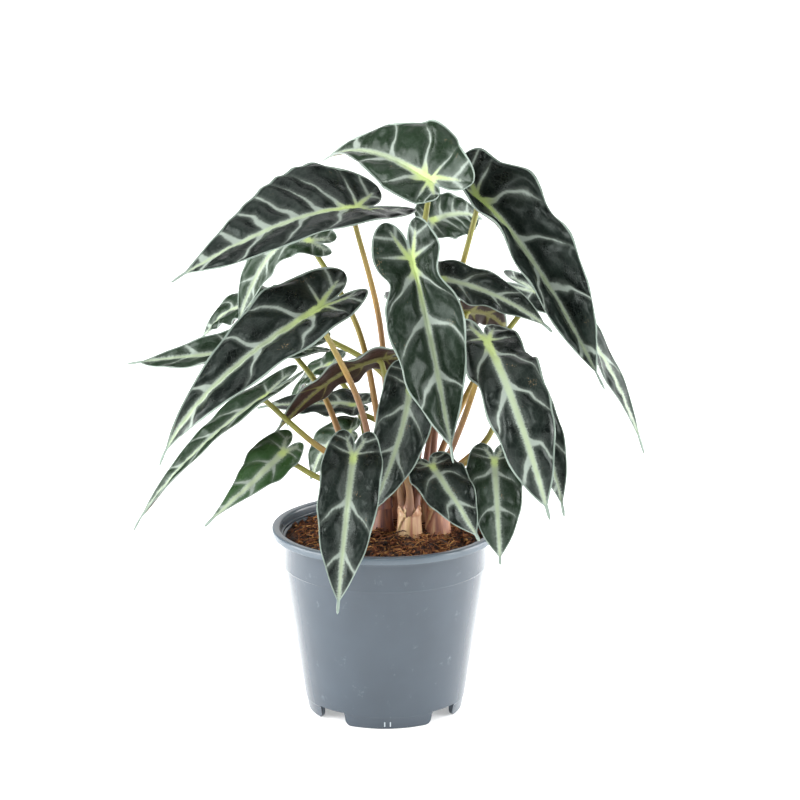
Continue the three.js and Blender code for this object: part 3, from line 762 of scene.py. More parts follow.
def midrib_frame(row, curve, along):
    """The midrib's point, the blade's normal and its right, at a share of the length."""
    share = max(0.0, along)
    points, lengths = curve
    before = point_at(points, lengths, max(0, share - FRAME_STEP))
    ahead = (point_at(points, lengths, min(1, share + FRAME_STEP)) - before).normalized()
    point = point_at(points, lengths, share) + ahead * min(0.0, along) * lengths[-1]
    normal = (row["face"] - ahead * row["face"].dot(ahead)).normalized()
    normal.rotate(Matrix.Rotation(math.radians(row["twist"] * share), 3, ahead))
    return point, normal, ahead.cross(normal)


def lobe_place(row, side, along):
    """Where a share of the length lies once the lobe behind the sinus is drawn out, or shortened."""
    return along + (row["lobes"][side] - 1) * min(0, along + SINUS)


def outer_edge(row, side, along):
    """Half width of the arrow outline, as a share of its widest, at a share of the length."""
    if along < WIDEST:
        back = (WIDEST - along) / (WIDEST + LOBE)
        return LOBE_SPREAD + (1 - LOBE_SPREAD) * math.sqrt(max(0, 1 - back * back))
    down = min(1, (along - WIDEST) / TAPER)
    return (1 - DRIP) * math.cos(math.pi / 2 * down ** row["narrow"][side]) + DRIP * math.sqrt(max(0, 1 - along))


def inner_edge(along):
    """How far from the midrib a lobe's inner edge is, as the same share."""
    back = max(0, (-along - SINUS) / (LOBE - SINUS))
    return LOBE_SPREAD * (1 - math.sqrt(max(0, 1 - back * back)))


print("top leaf's midrib:", round(midrib_curve(LEAVES["top"])[1][-1]), "mm")

# %% [markdown]
# ## Where the veins run
# The veins are what makes this leaf: a broad midrib, two ribs that fork back from the petiole into the lobes, a few
# laterals on each side that leave the midrib and then sweep towards the tip, ever further apart, and finer ones in
# the lobes. They could be painted on a picture, but here they are worked out at each vertex as distances in
# millimetres, and kept as attributes. The relief uses them here, and the material uses them later, so the pale
# lines and the sunk ones always agree.

# %% Measure the veins at a place on the blade
LATERAL_SWEEP = (0.11, 0.1)  # how far a lateral has moved to the tip at the margin: straight, and bent
LATERAL_GROWTH = 0.25  # how much further apart the laterals are towards the tip
LATERAL_WANDER = 0.16
LOBE_VEIN_SPACING = 0.095
LOBE_VEIN_LEAN = (0.05, 0.3)  # how far a lobe's side vein moves back: outside the rib, and inside it
BROAD_HALF = 22  # a blade with this half width in millimetres has ribs as wide as the next two values say
MIDRIB_HALF = 2.3  # half width of such a blade's midrib in millimetres, where the petiole joins
LOBE_RIB_HALF = 1.6
VEIN_TIP = 0.2  # half width of the midrib at its very end
WANDER_SIZE = 9
GLOW_REACH = (4, 8)  # how far the yellow star reaches on a narrow blade, and how much more on a broad one
NO_VEIN = -8.0


def between(low, value, high):
    """The value, or the limit that it has passed."""
    return min(high, max(low, value))


def lateral_count(along):
    """Rises ever slower towards the tip, so even steps of it are laterals that lie ever further apart."""
    return along * (1 - LATERAL_GROWTH * max(0, along))


def vein_fields(row, side, out, along, length):
    """Distances in millimetres that place a point among the veins of its half of the blade."""
    half = row["half"][side]
    broad = math.sqrt(min(24, max(row["half"])) / BROAD_HALF)
    wide = between(0, (max(row["half"]) - 14) / 8, 1)
    x, y = out * half, lobe_place(row, side, along) * length
    margin = (outer_edge(row, side, along) - out) * half
    if along < -SINUS:
        margin = min(margin, (out - inner_edge(along)) * half)
    midrib_half = broad * MIDRIB_HALF * max(0, 1 - along) ** 0.35 + VEIN_TIP
    midrib = math.hypot(x, min(0, y)) - midrib_half
    from_midrib = max(0, x - midrib_half)

    straight, sweep = LATERAL_SWEEP
    first = lateral_count(row["first"][side])
    step = lateral_count(row["first"][side] + row["step"][side]) - first
    wander = noise.noise(Vector((x, y, 20 * side)) / WANDER_SIZE + row["tip"]) * min(1, x / 6)
    lateral = (lateral_count(along) - first - straight * out - sweep * out**3) / step + LATERAL_WANDER * wander
    slope = (straight + 3 * sweep * out * out) * length / half
    lateral_mm = step * length / math.sqrt(1 + slope * slope) / (1 - 2 * LATERAL_GROWTH * max(0, along))
    luck = noise.noise(Vector((3.7 * round(lateral), 5.1 * side, 0.37 * row["tip"].x)))  # each lateral's own
    fading = between(0, (out - 0.5 - 0.2 * wide - 0.3 * luck) / 0.35, 1)
    flare = (1.2 + 0.3 * wide) * math.exp(-from_midrib / (2.0 + 1.5 * wide))
    body = (0.25 + 0.75 * wide) * (1 + 0.5 * luck) * (1.15 - 0.75 * out)
    lateral_half = body + flare - (0.5 + 0.75 * wide) * fading if lateral >= -0.5 else NO_VEIN

    back = between(0, -along / LOBE, 1)
    off_rib = abs(out - LOBE_SPREAD * back)
    lean = LOBE_VEIN_LEAN[out < LOBE_SPREAD * back]
    lobe_vein = (along + 0.03 + lean * off_rib) / LOBE_VEIN_SPACING + 0.5 * LATERAL_WANDER * wander
    lobe_mm = LOBE_VEIN_SPACING * length / math.hypot(1, lean * length / half)
    lobe_half = (0.3 + 0.65 * wide) * (1 - 0.5 * back) + 0.9 * (1 - back) * math.exp(-off_rib * half / 2.2)
    lobe_half -= (0.6 + 0.8 * wide) * between(0, (off_rib - 0.36) / 0.3, 1) + 3 * max(0, back - 0.85)
    if lobe_vein > 0.5 or (along > 0 and out < 0.2):
        lobe_half = NO_VEIN
    slant = math.cos(math.atan2(LOBE_SPREAD * half, LOBE * row["lobes"][side] * length))
    across_rib = off_rib * half * slant if along < 0 else math.hypot(x, y)
    lobe_rib = across_rib - broad * LOBE_RIB_HALF * max(0, 1 - (back / 0.9) ** 3) + 6 * max(0, back - 0.75)
    return dict(
        leaf_mm=(x if side == 0 else -x, y, margin),
        laterals=(lateral, lateral_mm, lateral_half),
        lobe_veins=(lobe_vein, lobe_mm, lobe_half),
        ribs=(midrib, lobe_rib, along),
        glow=(math.hypot(x, y) / (GLOW_REACH[0] + GLOW_REACH[1] * wide), wide, 0),
    )


def nearest_vein(fields):
    """Distance in millimetres from the edge of the nearest vein, negative inside it."""
    found = [fields["ribs"][0], fields["ribs"][1]]
    for name in ("laterals", "lobe_veins"):
        phase, mm, half = fields[name]
        found.append(abs(phase - round(phase)) * mm - half)
    return min(found)


print("midrib of a broad leaf:", 2 * (MIDRIB_HALF + VEIN_TIP), "mm wide at the petiole")

# %% [markdown]
# ## Laying the sheet
# Each half starts as a flat grid made by an operator, and its vertices are then carried to their places on the
# leaf. The halves are merged along the midrib, and the blade gets its thickness. Last, the skin is moved along its
# normals: up between the veins, which quilts the leaf, up along the margin, which turns its edge to the light, and
# down under the veins, which raises ribs on the underside. Real relief is used for this and not a bump alone,
# because the quilting bends the reflections and shows in the outline.

# %% Lay and thicken one blade
FIELD_NAMES = ("leaf_mm", "laterals", "lobe_veins", "ribs", "glow")
LOBE_SHARE = 0.16  # share of the grid's rows that lie in the lobes
SHEET_STEP = 1.0  # size of the grid's faces in millimetres
QUILT = 1.7  # how far the skin rises between two veins, in millimetres
QUILT_REACH = 3.4  # over this distance from a vein
PUCKER = 0.8
PUCKER_SIZE = 7
WRINKLE = 0.3
WRINKLE_SIZE = 2.8
TAIL_HALF = 0.9  # half width in millimetres that the blade keeps in its drip tip
TAIL_SHARE = 0.04
WAIST_PLACE = 0.1  # share of the length where the waist is narrowest
WAIST_LENGTH = 0.09
COLUMN_CROWDING = 0.1  # draws the grid's columns to the midrib and to the margin
MARGIN_SCALLOP = 0.02
MARGIN_RISE = 0.8  # how far the margin turns up
MARGIN_REACH = 0.8  # over about this distance from the edge
MARGIN_THIN = 0.45  # share of the thickness that is left at the edge
EDGE_FADE = 3  # the relief starts this far from the edge
MIDRIB_DEPTH = 0.9
LATERAL_DEPTH = 0.35


def row_place(t):
    """Share of the leaf's length for a row of the grid, crowded where the outline turns."""
    if t < LOBE_SHARE:
        return -SINUS - (LOBE - SINUS) * math.cos(math.pi / 2 * t / LOBE_SHARE)
    ahead = (t - LOBE_SHARE) / (1 - LOBE_SHARE)
    return -SINUS + (1 + SINUS) * (1 - (1 - ahead) ** 1.15)


def lay_half(bm, row, curve, side, layers):
    """One half of the blade as a sheet, with its vein fields."""
    length = curve[1][-1]
    half = row["half"][side]
    across = max(10, round(half / SHEET_STEP))
    rows = max(48, round(length / SHEET_STEP))
    grid = bmesh.ops.create_grid(bm, x_segments=across, y_segments=rows, size=0.5)["verts"]
    frames = {}
    for vert in grid:
        s, t = vert.co.x + 0.5, vert.co.y + 0.5
        along = row_place(between(0, t, 1))
        key = round(along, 6)
        if key not in frames:
            frames[key] = midrib_frame(row, curve, lobe_place(row, side, along))
        point, normal, right = frames[key]
        share = s - COLUMN_CROWDING * math.sin(math.tau * s)
        out = inner_edge(along) + (outer_edge(row, side, along) - inner_edge(along)) * share
        fields = vein_fields(row, side, out, along, length)
        for name in FIELD_NAMES:
            vert[layers[name]] = fields[name]
        rise = math.radians(row["fold"][side] + row["curl"][side] * out / 2)
        fade = 1 - max(0, along) ** 2
        phase = side * OFF_BEAT + row["phase"]
        ripple = row["wave"] * fade * out * out * math.sin(math.tau * WAVES * along + phase)
        scallop = 1 - MARGIN_SCALLOP * share**2 * math.cos(math.tau * fields["laterals"][0])
        pinch = 1 - row["waist"] * math.exp(-(((along - WAIST_PLACE) / WAIST_LENGTH) ** 2))
        tail = TAIL_HALF * share * math.sqrt(between(0, (1 - along) / TAIL_SHARE, 1))
        reach = max(out * half * scallop * pinch, tail)
        way = right if side == 0 else -right
        place = point + way * reach * math.cos(rise) + normal * (reach * math.sin(rise) + ripple)
        vert.co = place * MM
    if side == 1:
        faces = {face for vert in grid for face in vert.link_faces}
        bmesh.ops.reverse_faces(bm, faces=list(faces))


def blade_mesh(row):
    """The whole blade: both halves merged, thickened, quilted above and ribbed below."""
    bm = bmesh.new()
    layers = {name: bm.verts.layers.float_vector.new(name) for name in FIELD_NAMES}
    layers["up"] = bm.verts.layers.float_vector.new("up")
    curve = midrib_curve(row)
    for side in (0, 1):
        lay_half(bm, row, curve, side, layers)
    bmesh.ops.remove_doubles(bm, verts=bm.verts, dist=0.003 * MM)
    bm.normal_update()
    for vert in bm.verts:
        vert[layers["up"]] = vert.normal
    under = bmesh.ops.solidify(bm, geom=bm.faces[:], thickness=0.0)["geom"]
    under_verts = {e for e in under if isinstance(e, bmesh.types.BMVert)}
    for vert in bm.verts:
        fields = {name: vert[layers[name]] for name in FIELD_NAMES}
        near = nearest_vein(fields)
        inside = between(0, fields["leaf_mm"].z / EDGE_FADE, 1)
        full = max(inside, between(0, (fields["ribs"].z - 0.85) / 0.1, 1))
        skin = BLADE_THICKNESS / 2 * (MARGIN_THIN + (1 - MARGIN_THIN) * full)
        up = vert[layers["up"]].normalized()
        rise = MARGIN_RISE * math.exp(-((fields["leaf_mm"].z / MARGIN_REACH) ** 2))
        vert.co += up * rise * min(1, 6 * (1 - fields["ribs"].z)) * MM
        if vert in under_verts:
            ridge = MIDRIB_DEPTH * (1 - 0.8 * max(0, fields["ribs"].z))
            ridge *= math.sqrt(max(0, 1 - (fields["leaf_mm"].x / (2 * BLADE_THICKNESS)) ** 2))
            ridge = ridge * inside + LATERAL_DEPTH * inside * between(0, 0.4 - near, 1)
            vert.co -= up * (skin + ridge) * MM
        else:
            bulge = QUILT * (1 - math.exp(-((max(0, near) / QUILT_REACH) ** 2))) * inside
            flat = fields["leaf_mm"].xy.to_3d() + row["tip"]
            crease = PUCKER * noise.noise(flat / PUCKER_SIZE) + WRINKLE * noise.noise(flat / WRINKLE_SIZE)
            vert.co += up * (skin + bulge + crease * inside) * MM
    for face in bm.faces:
        face.material_index = 1 if all(v in under_verts for v in face.verts) else 0
    bm.verts.layers.float_vector.remove(layers["up"])
    bmesh.ops.recalc_face_normals(bm, faces=bm.faces)
    return bm


print("rows start at shares", [round(row_place(i / 4), 2) for i in range(5)], "of a leaf's length")

# %% [markdown]
# ## The leaf's skin
# The upper side is a thick, waxy cuticle over near-black green tissue, so it mirrors the light softly. Its veins
# are pale because they lack that green: yellow-green where the petiole joins, and grey-green further out. Their
# edges are feathered, a thin pale line follows the margin, and a fine net lies between the laterals. The underside
# is maroon and duller, with olive veins. A picture of a leaf could be wrapped on it, but a rule fits every blade
# without a seam, so both skins read the vein distances that the blade carries.

# %% Turn the attributes into masks
WHISKER_WIDTH = 0.55  # in millimetres, as the leaf's own coordinates are
WHISKER_LENGTH = 2.6
WHISKER_REACH = 1.3
NET_CELL = 3.2


def vein_masks(tree):
    """The masks that both skins share, made from the blade's attributes. place is the leaf's own coordinates."""
    read = {name: add_node(tree, "Attribute", attribute_name=name).outputs["Vector"] for name in FIELD_NAMES}
    parts = {name: add_node(tree, "SeparateXYZ", {0: output}).outputs for name, output in read.items()}
    whiskers = []
    for size in ((WHISKER_LENGTH, WHISKER_WIDTH, 1), (WHISKER_WIDTH, WHISKER_LENGTH, 1)):
        stretched = add_node(tree, "Mapping", {"Vector": read["leaf_mm"], "Scale": [1 / s for s in size]})
        hairs = add_node(tree, "TexNoise", {"Vector": stretched, "Scale": 1.0, "Detail": 2})
        fringe = {"Value": hairs, "To Min": -WHISKER_REACH, "To Max": WHISKER_REACH}
        whiskers.append(add_node(tree, "MapRange", fringe))
    rib = add_node(tree, "Math", {0: parts["ribs"][0], 1: parts["ribs"][1]}, operation="MINIMUM")
    nearest = add_node(tree, "Math", {0: rib, 1: whiskers[0]}, operation="ADD")
    for name in ("laterals", "lobe_veins"):
        off = add_node(tree, "Math", {0: parts[name][0], 1: 0.5}, operation="PINGPONG")
        off_mm = add_node(tree, "Math", {0: off, 1: parts[name][1]}, operation="MULTIPLY")
        from_edge = add_node(tree, "Math", {0: off_mm, 1: parts[name][2]}, operation="SUBTRACT")
        frayed = add_node(tree, "Math", {0: whiskers[1], 1: 0.5, 2: from_edge}, operation="MULTIPLY_ADD")
        nearest = add_node(tree, "Math", {0: nearest, 1: frayed}, operation="MINIMUM")
    off_petiole = add_node(tree, "Math", {0: parts["ribs"][2]}, operation="ABSOLUTE")
    widened = {0: parts["glow"][1], 1: -0.4, 2: parts["leaf_mm"][2]}  # the pale margin is wider on a broad leaf
    margin = add_node(tree, "Math", widened, operation="MULTIPLY_ADD")
    net = {"Vector": read["leaf_mm"], "Scale": 1 / NET_CELL}
    slopes = dict(  # what is read, where the mask starts and is full, and how strong it is there
        vein=(nearest, 0.6, -0.7, 1),
        halo=(nearest, 2.6, 0, 0.16),
        midrib=(rib, 0.3, -1.5, 1),
        near=(parts["glow"][0], 1, 0.1, 1),
        far=(off_petiole, 0, 0.3, 1),
        broad=(parts["glow"][1], 0.1, 0.8, 1),
        tip=(parts["ribs"][2], 0.86, 0.97, 0.85),
        margin=(margin, 0.8, 0.25, 1),
        net=(add_node(tree, "TexVoronoi", net, feature="DISTANCE_TO_EDGE"), 0.09, 0, 1),
    )
    masks = {"place": read["leaf_mm"]}
    for name, (value, start, end, top) in slopes.items():
        sockets = {"Value": value, "From Min": start, "From Max": end, "To Max": top}
        masks[name] = add_node(tree, "MapRange", sockets, interpolation_type="SMOOTHSTEP")
    return masks


print("masks are made from:", FIELD_NAMES)

# %% Make the waxy upper side
LEAF_BLACK_GREEN = "080c0b"
LEAF_GREEN = "18201c"
LEAF_YOUNG = "2f4a28"
VEIN_YELLOW = "aec07c"
MIDRIB_PALE = "9aa88c"
VEIN_PALE = "8b958c"
MARGIN_PALE = "7d8a81"
TIP_GREY = "79847e"
CUTICLE_TINT = "dfece5"
LEAF_DRY = "6f5f47"
TONE_SIZE = 14
DRY_PATCH = 13
DRY_SPECK = 1.0
PORES = 0.7  # in each millimetre: real pores are far finer, and wouldn't show
CUTICLE_DEPTH = 0.4 * MM


def leaf_upper():
    material, tree = new_material("waxy leaf blade, upper side")
    masks = vein_masks(tree)
    place = masks["place"]
    clouds = add_node(tree, "TexNoise", {"Vector": place, "Scale": 1 / TONE_SIZE, "Detail": 4})
    cloudy = add_node(tree, "MapRange", {"Value": clouds, "From Min": 0.32, "From Max": 0.68})
    young = add_node(tree, "Attribute", attribute_name="young").outputs["Fac"]
    net = add_node(tree, "Math", {0: masks["net"], 1: 0.035}, operation="MULTIPLY")
    tissue = lay_coats(tree, LEAF_BLACK_GREEN, (cloudy, LEAF_GREEN), (young, LEAF_YOUNG))
    tissue = lay_coats(tree, tissue, (masks["halo"], VEIN_PALE), (net, VEIN_PALE))
    greyer = add_node(tree, "Math", {0: masks["far"], 1: masks["broad"]}, operation="SUBTRACT")
    greyer = add_node(tree, "Math", {0: greyer, 1: 1.0}, operation="ADD", use_clamp=True)
    midrib = lay_coats(tree, VEIN_YELLOW, (greyer, MIDRIB_PALE))
    vein = lay_coats(tree, VEIN_PALE, (masks["midrib"], midrib), (masks["near"], VEIN_YELLOW))
    patches = add_node(tree, "TexNoise", {"Vector": place, "Scale": 1 / DRY_PATCH, "Detail": 1})
    specks = add_node(tree, "TexNoise", {"Vector": place, "Scale": 1 / DRY_SPECK, "Detail": 3})
    dry = add_node(tree, "Math", {0: patches, 1: specks}, operation="MULTIPLY")
    dry = add_node(tree, "MapRange", {"Value": dry, "From Min": 0.46, "From Max": 0.5, "To Max": 0.85})
    colour = lay_coats(tree, tissue, (masks["vein"], vein), (masks["tip"], TIP_GREY))
    colour = lay_coats(tree, colour, (masks["margin"], MARGIN_PALE), (dry, LEAF_DRY))
    pores = add_node(tree, "TexNoise", {"Vector": place, "Scale": PORES, "Detail": 4, "Roughness": 0.6})
    pits = add_node(tree, "Math", {0: masks["net"], 1: -0.3, 2: pores}, operation="MULTIPLY_ADD")
    relief = add_node(tree, "Bump", {"Height": pits, "Strength": 0.2, "Distance": CUTICLE_DEPTH})
    gloss = add_node(tree, "MapRange", {"Value": clouds, "To Min": 0.16, "To Max": 0.42})
    surface = dict(Base_Color=colour, Roughness=gloss, Normal=relief)
    finish_surface(tree, **surface, IOR=1.33, Specular_Tint=CUTICLE_TINT)
    return material


# %% Make the maroon underside
UNDER_MAROON = "30161c"
UNDER_BROWN = "2a2413"
UNDER_VEIN = "6c6a3c"
NET_DEPTH = 0.2 * MM


def leaf_under():
    material, tree = new_material("maroon leaf underside")
    masks = vein_masks(tree)
    clouds = add_node(tree, "TexNoise", {"Vector": masks["place"], "Scale": 1 / TONE_SIZE, "Detail": 3})
    tissue = lay_coats(tree, UNDER_MAROON, (clouds, UNDER_BROWN))
    colour = lay_coats(tree, tissue, (masks["vein"], UNDER_VEIN), (masks["margin"], MARGIN_PALE))
    relief = add_node(tree, "Bump", {"Height": masks["net"], "Strength": 0.3, "Distance": NET_DEPTH})
    finish_surface(tree, Base_Color=colour, Roughness=0.45, Normal=relief, IOR=1.45)
    return material


leaf_materials = [leaf_upper(), leaf_under()]
print("made:", [material.name for material in leaf_materials])


# %% Build the blades
def build_blade(name, row):
    bm = blade_mesh(row)
    fresh = bm.verts.layers.float.new("young")
    for vert in bm.verts:
        vert[fresh] = row["young"]
    return finish_piece(bm, "leaf_" + name, "blade_" + name, "leaf_blade", leaf_materials, 60)


blades = {name: build_blade(name, row) for name, row in LEAVES.items()}
print("blades:", sum(len(blade.data.polygons) for blade in blades.values()), "faces")

# %% [markdown]
# ## Stalks
# A petiole is a smooth, fleshy stalk, thickest where it leaves its sheath. It could be a curve with a bevel, but a
# circle extruded from point to point keeps its share of the way as an attribute, and the colour needs that: brown
# and rose low down, ochre in the middle, and olive green under the leaf. Its path is the solid model's: up from its
# seat on the shoot, through one point on the way, and to the blade's underside, where it runs on into the midrib.

# %% Follow and build a stalk
SHOOT_BASE = 6.7
SHOOT_TOP = 5.9
SHOOT_DEPTH = 14
SEATS = 5
SEAT_RING = 3.7
STALK_BASE = 1.9
STALK_TIP = 1.3
STALK_RISE = 8
STALK_LEAN = 0.4
STALK_SIDES = 14
STALK_STEPS = 44
STALK_FOOT = 1.1  # how much thicker a stalk is where it leaves its sheath
STALK_END = 0.5  # radius of its hidden end, inside the midrib
CURVE_SAMPLES = 50
GAP = 0.3  # between two solids that grow as one


def shoot_top(shoot):
    return SOIL_EDGE + SOIL_MOUND + shoot["tall"]


def seat_point(row, radius, height):
    """A point over a stalk's seat on its shoot, at a radius from the shoot's axis."""
    shoot = SHOOTS[row["shoot"]]
    turn = -math.pi / 2 - math.tau * row["seat"] / SEATS
    x, y = shoot["at"]
    return Vector((x + radius * math.cos(turn), y + radius * math.sin(turn), shoot_top(shoot) + 2 * GAP + height))


def smooth_path(points, steps):
    """A centripetal Catmull-Rom curve through the points, as even steps."""
    ends = [points[0] * 2 - points[1]] + points + [points[-1] * 2 - points[-2]]
    samples = []
    for a, b, c, d in zip(ends, ends[1:], ends[2:], ends[3:]):
        first, middle, last = ((b - a).length ** 0.5, (c - b).length ** 0.5, (d - c).length ** 0.5)
        start = ((b - a) / first - (c - a) / (first + middle) + (c - b) / middle) * middle
        finish = ((c - b) / middle - (d - b) / (middle + last) + (d - c) / last) * middle
        for i in range(CURVE_SAMPLES):
            t = i / CURVE_SAMPLES
            bend = (2 * b - 2 * c + start + finish) * t**3 + (3 * c - 3 * b - 2 * start - finish) * t**2
            samples.append(bend + start * t + b)
    samples.append(points[-1].copy())
    lengths = even_steps(samples)
    return [point_at(samples, lengths, i / steps) for i in range(steps + 1)]


def sweep(bm, path, radii, sides):
    """A closed rod along a path. Every vertex notes its share of the way in the layer along."""
    along = bm.verts.layers.float.get("along") or bm.verts.layers.float.new("along")
    ring = bmesh.ops.create_circle(bm, segments=sides, radius=1)["verts"]
    unit = [v.co.copy() for v in ring]
    edges = list({e for v in ring for e in v.link_edges})
    facing = Vector((0, 0, 1))
    turned = Matrix.Identity(3)
    for step, (point, radius) in enumerate(zip(path, radii)):
        ahead = (path[min(step + 1, len(path) - 1)] - path[max(step - 1, 0)]).normalized()
        turned = facing.rotation_difference(ahead).to_matrix() @ turned
        facing = ahead
        if step:
            order = {v: i for i, v in enumerate(ring)}
            grown = bmesh.ops.extrude_edge_only(bm, edges=edges)["geom"]
            new_verts = {v for v in grown if isinstance(v, bmesh.types.BMVert)}
            edges = [e for e in grown if isinstance(e, bmesh.types.BMEdge)]
            following = [None] * sides
            for v in new_verts:
                old = next(e.other_vert(v) for e in v.link_edges if e.other_vert(v) in order)
                following[order[old]] = v
            ring = following
        for vert, corner in zip(ring, unit):
            vert.co = (point + turned @ corner * radius) * MM
            vert[along] = step / (len(path) - 1)
    bmesh.ops.holes_fill(bm, edges=bm.edges)
    bmesh.ops.recalc_face_normals(bm, faces=bm.faces)


def stalk_path(row):
    """The stalk's points: a foot inside the sheath, the solid's own path, and a hook into the midrib."""
    _, normal, right = midrib_frame(row, midrib_curve(row), 0)
    ahead = normal.cross(right)
    under = BLADE_THICKNESS / 2 + MIDRIB_DEPTH + 2 * GAP + STALK_TIP
    seat = seat_point(row, SEAT_RING, 0)
    rise = seat_point(row, SEAT_RING * (1 + STALK_LEAN), STALK_RISE)
    end = row["base"] - normal * under
    path = smooth_path([seat, rise, row["via"], end], STALK_STEPS)
    foot = [seat_point(row, SEAT_RING * 0.7, -7), seat_point(row, SEAT_RING * 0.9, -3)]
    hook = [row["base"] - normal * under * 0.5 + ahead * 0.8, row["base"] - normal * 0.7 + ahead * 3.2]
    return foot + path + hook


def build_stalk(name, row, hue):
    """One stalk. hue shifts its colour, down to rosier and up to greener."""
    path = stalk_path(row)
    radii = []
    for i in range(len(path)):
        share = i / (len(path) - 1)
        flare = STALK_FOOT * max(0, 1 - share / 0.2) ** 2
        radii.append(STALK_BASE + (STALK_TIP + 0.1 - STALK_BASE) * share + flare)
    radii[-1] = STALK_END
    bm = bmesh.new()
    sweep(bm, path, radii, STALK_SIDES)
    tone = bm.verts.layers.float.new("tone")
    for vert in bm.verts:
        vert[tone] = row["young"] + hue
    return finish_piece(bm, "stalk_" + name, "petiole_" + name, "petiole", [stalk_material], 60)


print("top leaf's stalk:", round(even_steps(stalk_path(LEAVES["top"]))[-1]), "mm long")

# %% [markdown]
# ## The stalk's skin
# A petiole is fleshy and smooth, with a thin waxy skin, so it shines softly along its length. One colour would make
# it look like wire. Its colour runs from rose to ochre to olive on the way up, and short dark flecks lie along it.

# %% Make the stalk's skin and the stalks
STALK_ROSE = "815d50"
STALK_OCHRE = "92733d"
STALK_OLIVE = "80803f"
STALK_FLECK = "5c3a35"
STREAK_LENGTH = 9 * MM
STREAK_WIDTH = 0.9 * MM
STREAK_DEPTH = 0.2 * MM
DRIFT_SIZE = 40 * MM  # over this length the colour strays from its place on the stalk
STALK_HUES = (-0.45, 0.25)  # rosiest and greenest stalk


def stalk_skin():
    material, tree = new_material("fleshy leaf stalk")
    place = add_node(tree, "TexCoord").outputs["Object"]
    along = add_node(tree, "Attribute", attribute_name="along").outputs["Fac"]
    fresh = add_node(tree, "Attribute", attribute_name="tone").outputs["Fac"]
    wander = add_node(tree, "TexNoise", {"Vector": place, "Scale": 1 / DRIFT_SIZE, "Detail": 2})
    way = add_node(tree, "Math", {0: wander, 1: 0.5, 2: along}, operation="MULTIPLY_ADD")
    greener = add_node(tree, "Math", {0: fresh, 1: 0.6, 2: way}, operation="MULTIPLY_ADD")
    stops = [(0.3, STALK_ROSE), (0.72, STALK_OCHRE), (1.0, STALK_OLIVE)]
    flesh = add_node(tree, "ValToRGB", {"Fac": greener}, stops)
    streak = (1 / STREAK_WIDTH, 1 / STREAK_WIDTH, 1 / STREAK_LENGTH)
    squeeze = add_node(tree, "Mapping", {"Vector": place, "Scale": streak})
    streaks = add_node(tree, "TexNoise", {"Vector": squeeze, "Scale": 1.0, "Detail": 4})
    flecks = add_node(tree, "MapRange", {"Value": streaks, "From Min": 0.55, "From Max": 0.75, "To Max": 0.55})
    colour = lay_coats(tree, flesh, (flecks, STALK_FLECK))
    relief = add_node(tree, "Bump", {"Height": streaks, "Strength": 0.2, "Distance": STREAK_DEPTH})
    finish_surface(tree, Base_Color=colour, Roughness=0.38, Normal=relief, IOR=1.4)
    return material


stalk_material = stalk_skin()
hues = random.Random(4)
stalks = {name: build_stalk(name, row, hues.uniform(*STALK_HUES)) for name, row in LEAVES.items()}
print("stalks:", sum(len(stalk.data.polygons) for stalk in stalks.values()), "faces")

# %% [markdown]
# ## Sheathed shoots
# Where the stalks leave the soil, their bases wrap round each other as papery sheaths, striped in cream, rose and
# purple-brown, and dried cream along their edges. They could be separate wrapped sheets, but only their edges show.
# So each shoot is a spun form whose radius steps along a slow spiral, which is the edge of one sheath over the
# next, and swells where a stalk stands inside it. Pointed tips of old sheaths stand round its top.

# %% Make the sheaths' skin
SHEATH_CREAM = "c8ac80"
SHEATH_ROSE = "a8765f"
SHEATH_PURPLE = "664a4e"
STRIPE_WIDTH = 1.6 * MM
STRIPE_LENGTH = 22 * MM
STRIPE_DEPTH = 0.3 * MM


def sheath_skin():
    material, tree = new_material("papery shoot sheath")
    place = add_node(tree, "TexCoord").outputs["Object"]
    tone = add_node(tree, "Attribute", attribute_name="tone").outputs["Fac"]
    stripe = (1 / STRIPE_WIDTH, 1 / STRIPE_WIDTH, 1 / STRIPE_LENGTH)
    squeeze = add_node(tree, "Mapping", {"Vector": place, "Scale": stripe})
    stripes = add_node(tree, "TexNoise", {"Vector": squeeze, "Scale": 0.8, "Detail": 3})
    bands = {"Value": stripes, "From Min": 0.3, "From Max": 0.7, "To Min": -0.15, "To Max": 0.5}
    mixed = {0: tone, 1: 0.6, 2: add_node(tree, "MapRange", bands)}
    mixed = add_node(tree, "Math", mixed, operation="MULTIPLY_ADD")
    stops = [(0.05, SHEATH_CREAM), (0.45, SHEATH_ROSE), (0.95, SHEATH_PURPLE)]
    striped = add_node(tree, "ValToRGB", {"Fac": mixed}, stops)
    wrap = add_node(tree, "Attribute", attribute_name="wrap").outputs["Fac"]
    edge = {"Value": wrap, "From Min": 0.86, "From Max": 1.0, "To Max": 0.7}
    dried = add_node(tree, "MapRange", edge, interpolation_type="SMOOTHSTEP")
    relief = add_node(tree, "Bump", {"Height": stripes, "Strength": 0.4, "Distance": STRIPE_DEPTH})
    colour = lay_coats(tree, striped, (dried, SHEATH_CREAM))
    finish_surface(tree, Base_Color=colour, Roughness=0.4, Normal=relief, IOR=1.42)
    return material


sheath_material = sheath_skin()
print("made:", sheath_material.name)

# %% Wrap a shoot
SHEATH_WRAPS = 2  # sheaths that share one turn round the shoot
SHEATH_STEP = 0.9  # how far a sheath's edge stands out over the next
SHEATH_SWELL = 0.35  # how far it swells over a stalk inside it
SHEATH_TURN = 0.07  # radians that the edge winds in each millimetre of height
SHOOT_ROWS = 30
SHOOT_SIDES = 96
TIPS = 3
TIP_HEIGHT = 14
TIP_SPREAD = 0.85  # radians on each side
TIP_THICKNESS = 0.35


def wrap_place(angle, height):
    """How far round its own sheath a point is, from 0 to 1. The edges wind up the shoot."""
    return (SHEATH_WRAPS * (angle - SHEATH_TURN * height) / math.tau) % 1


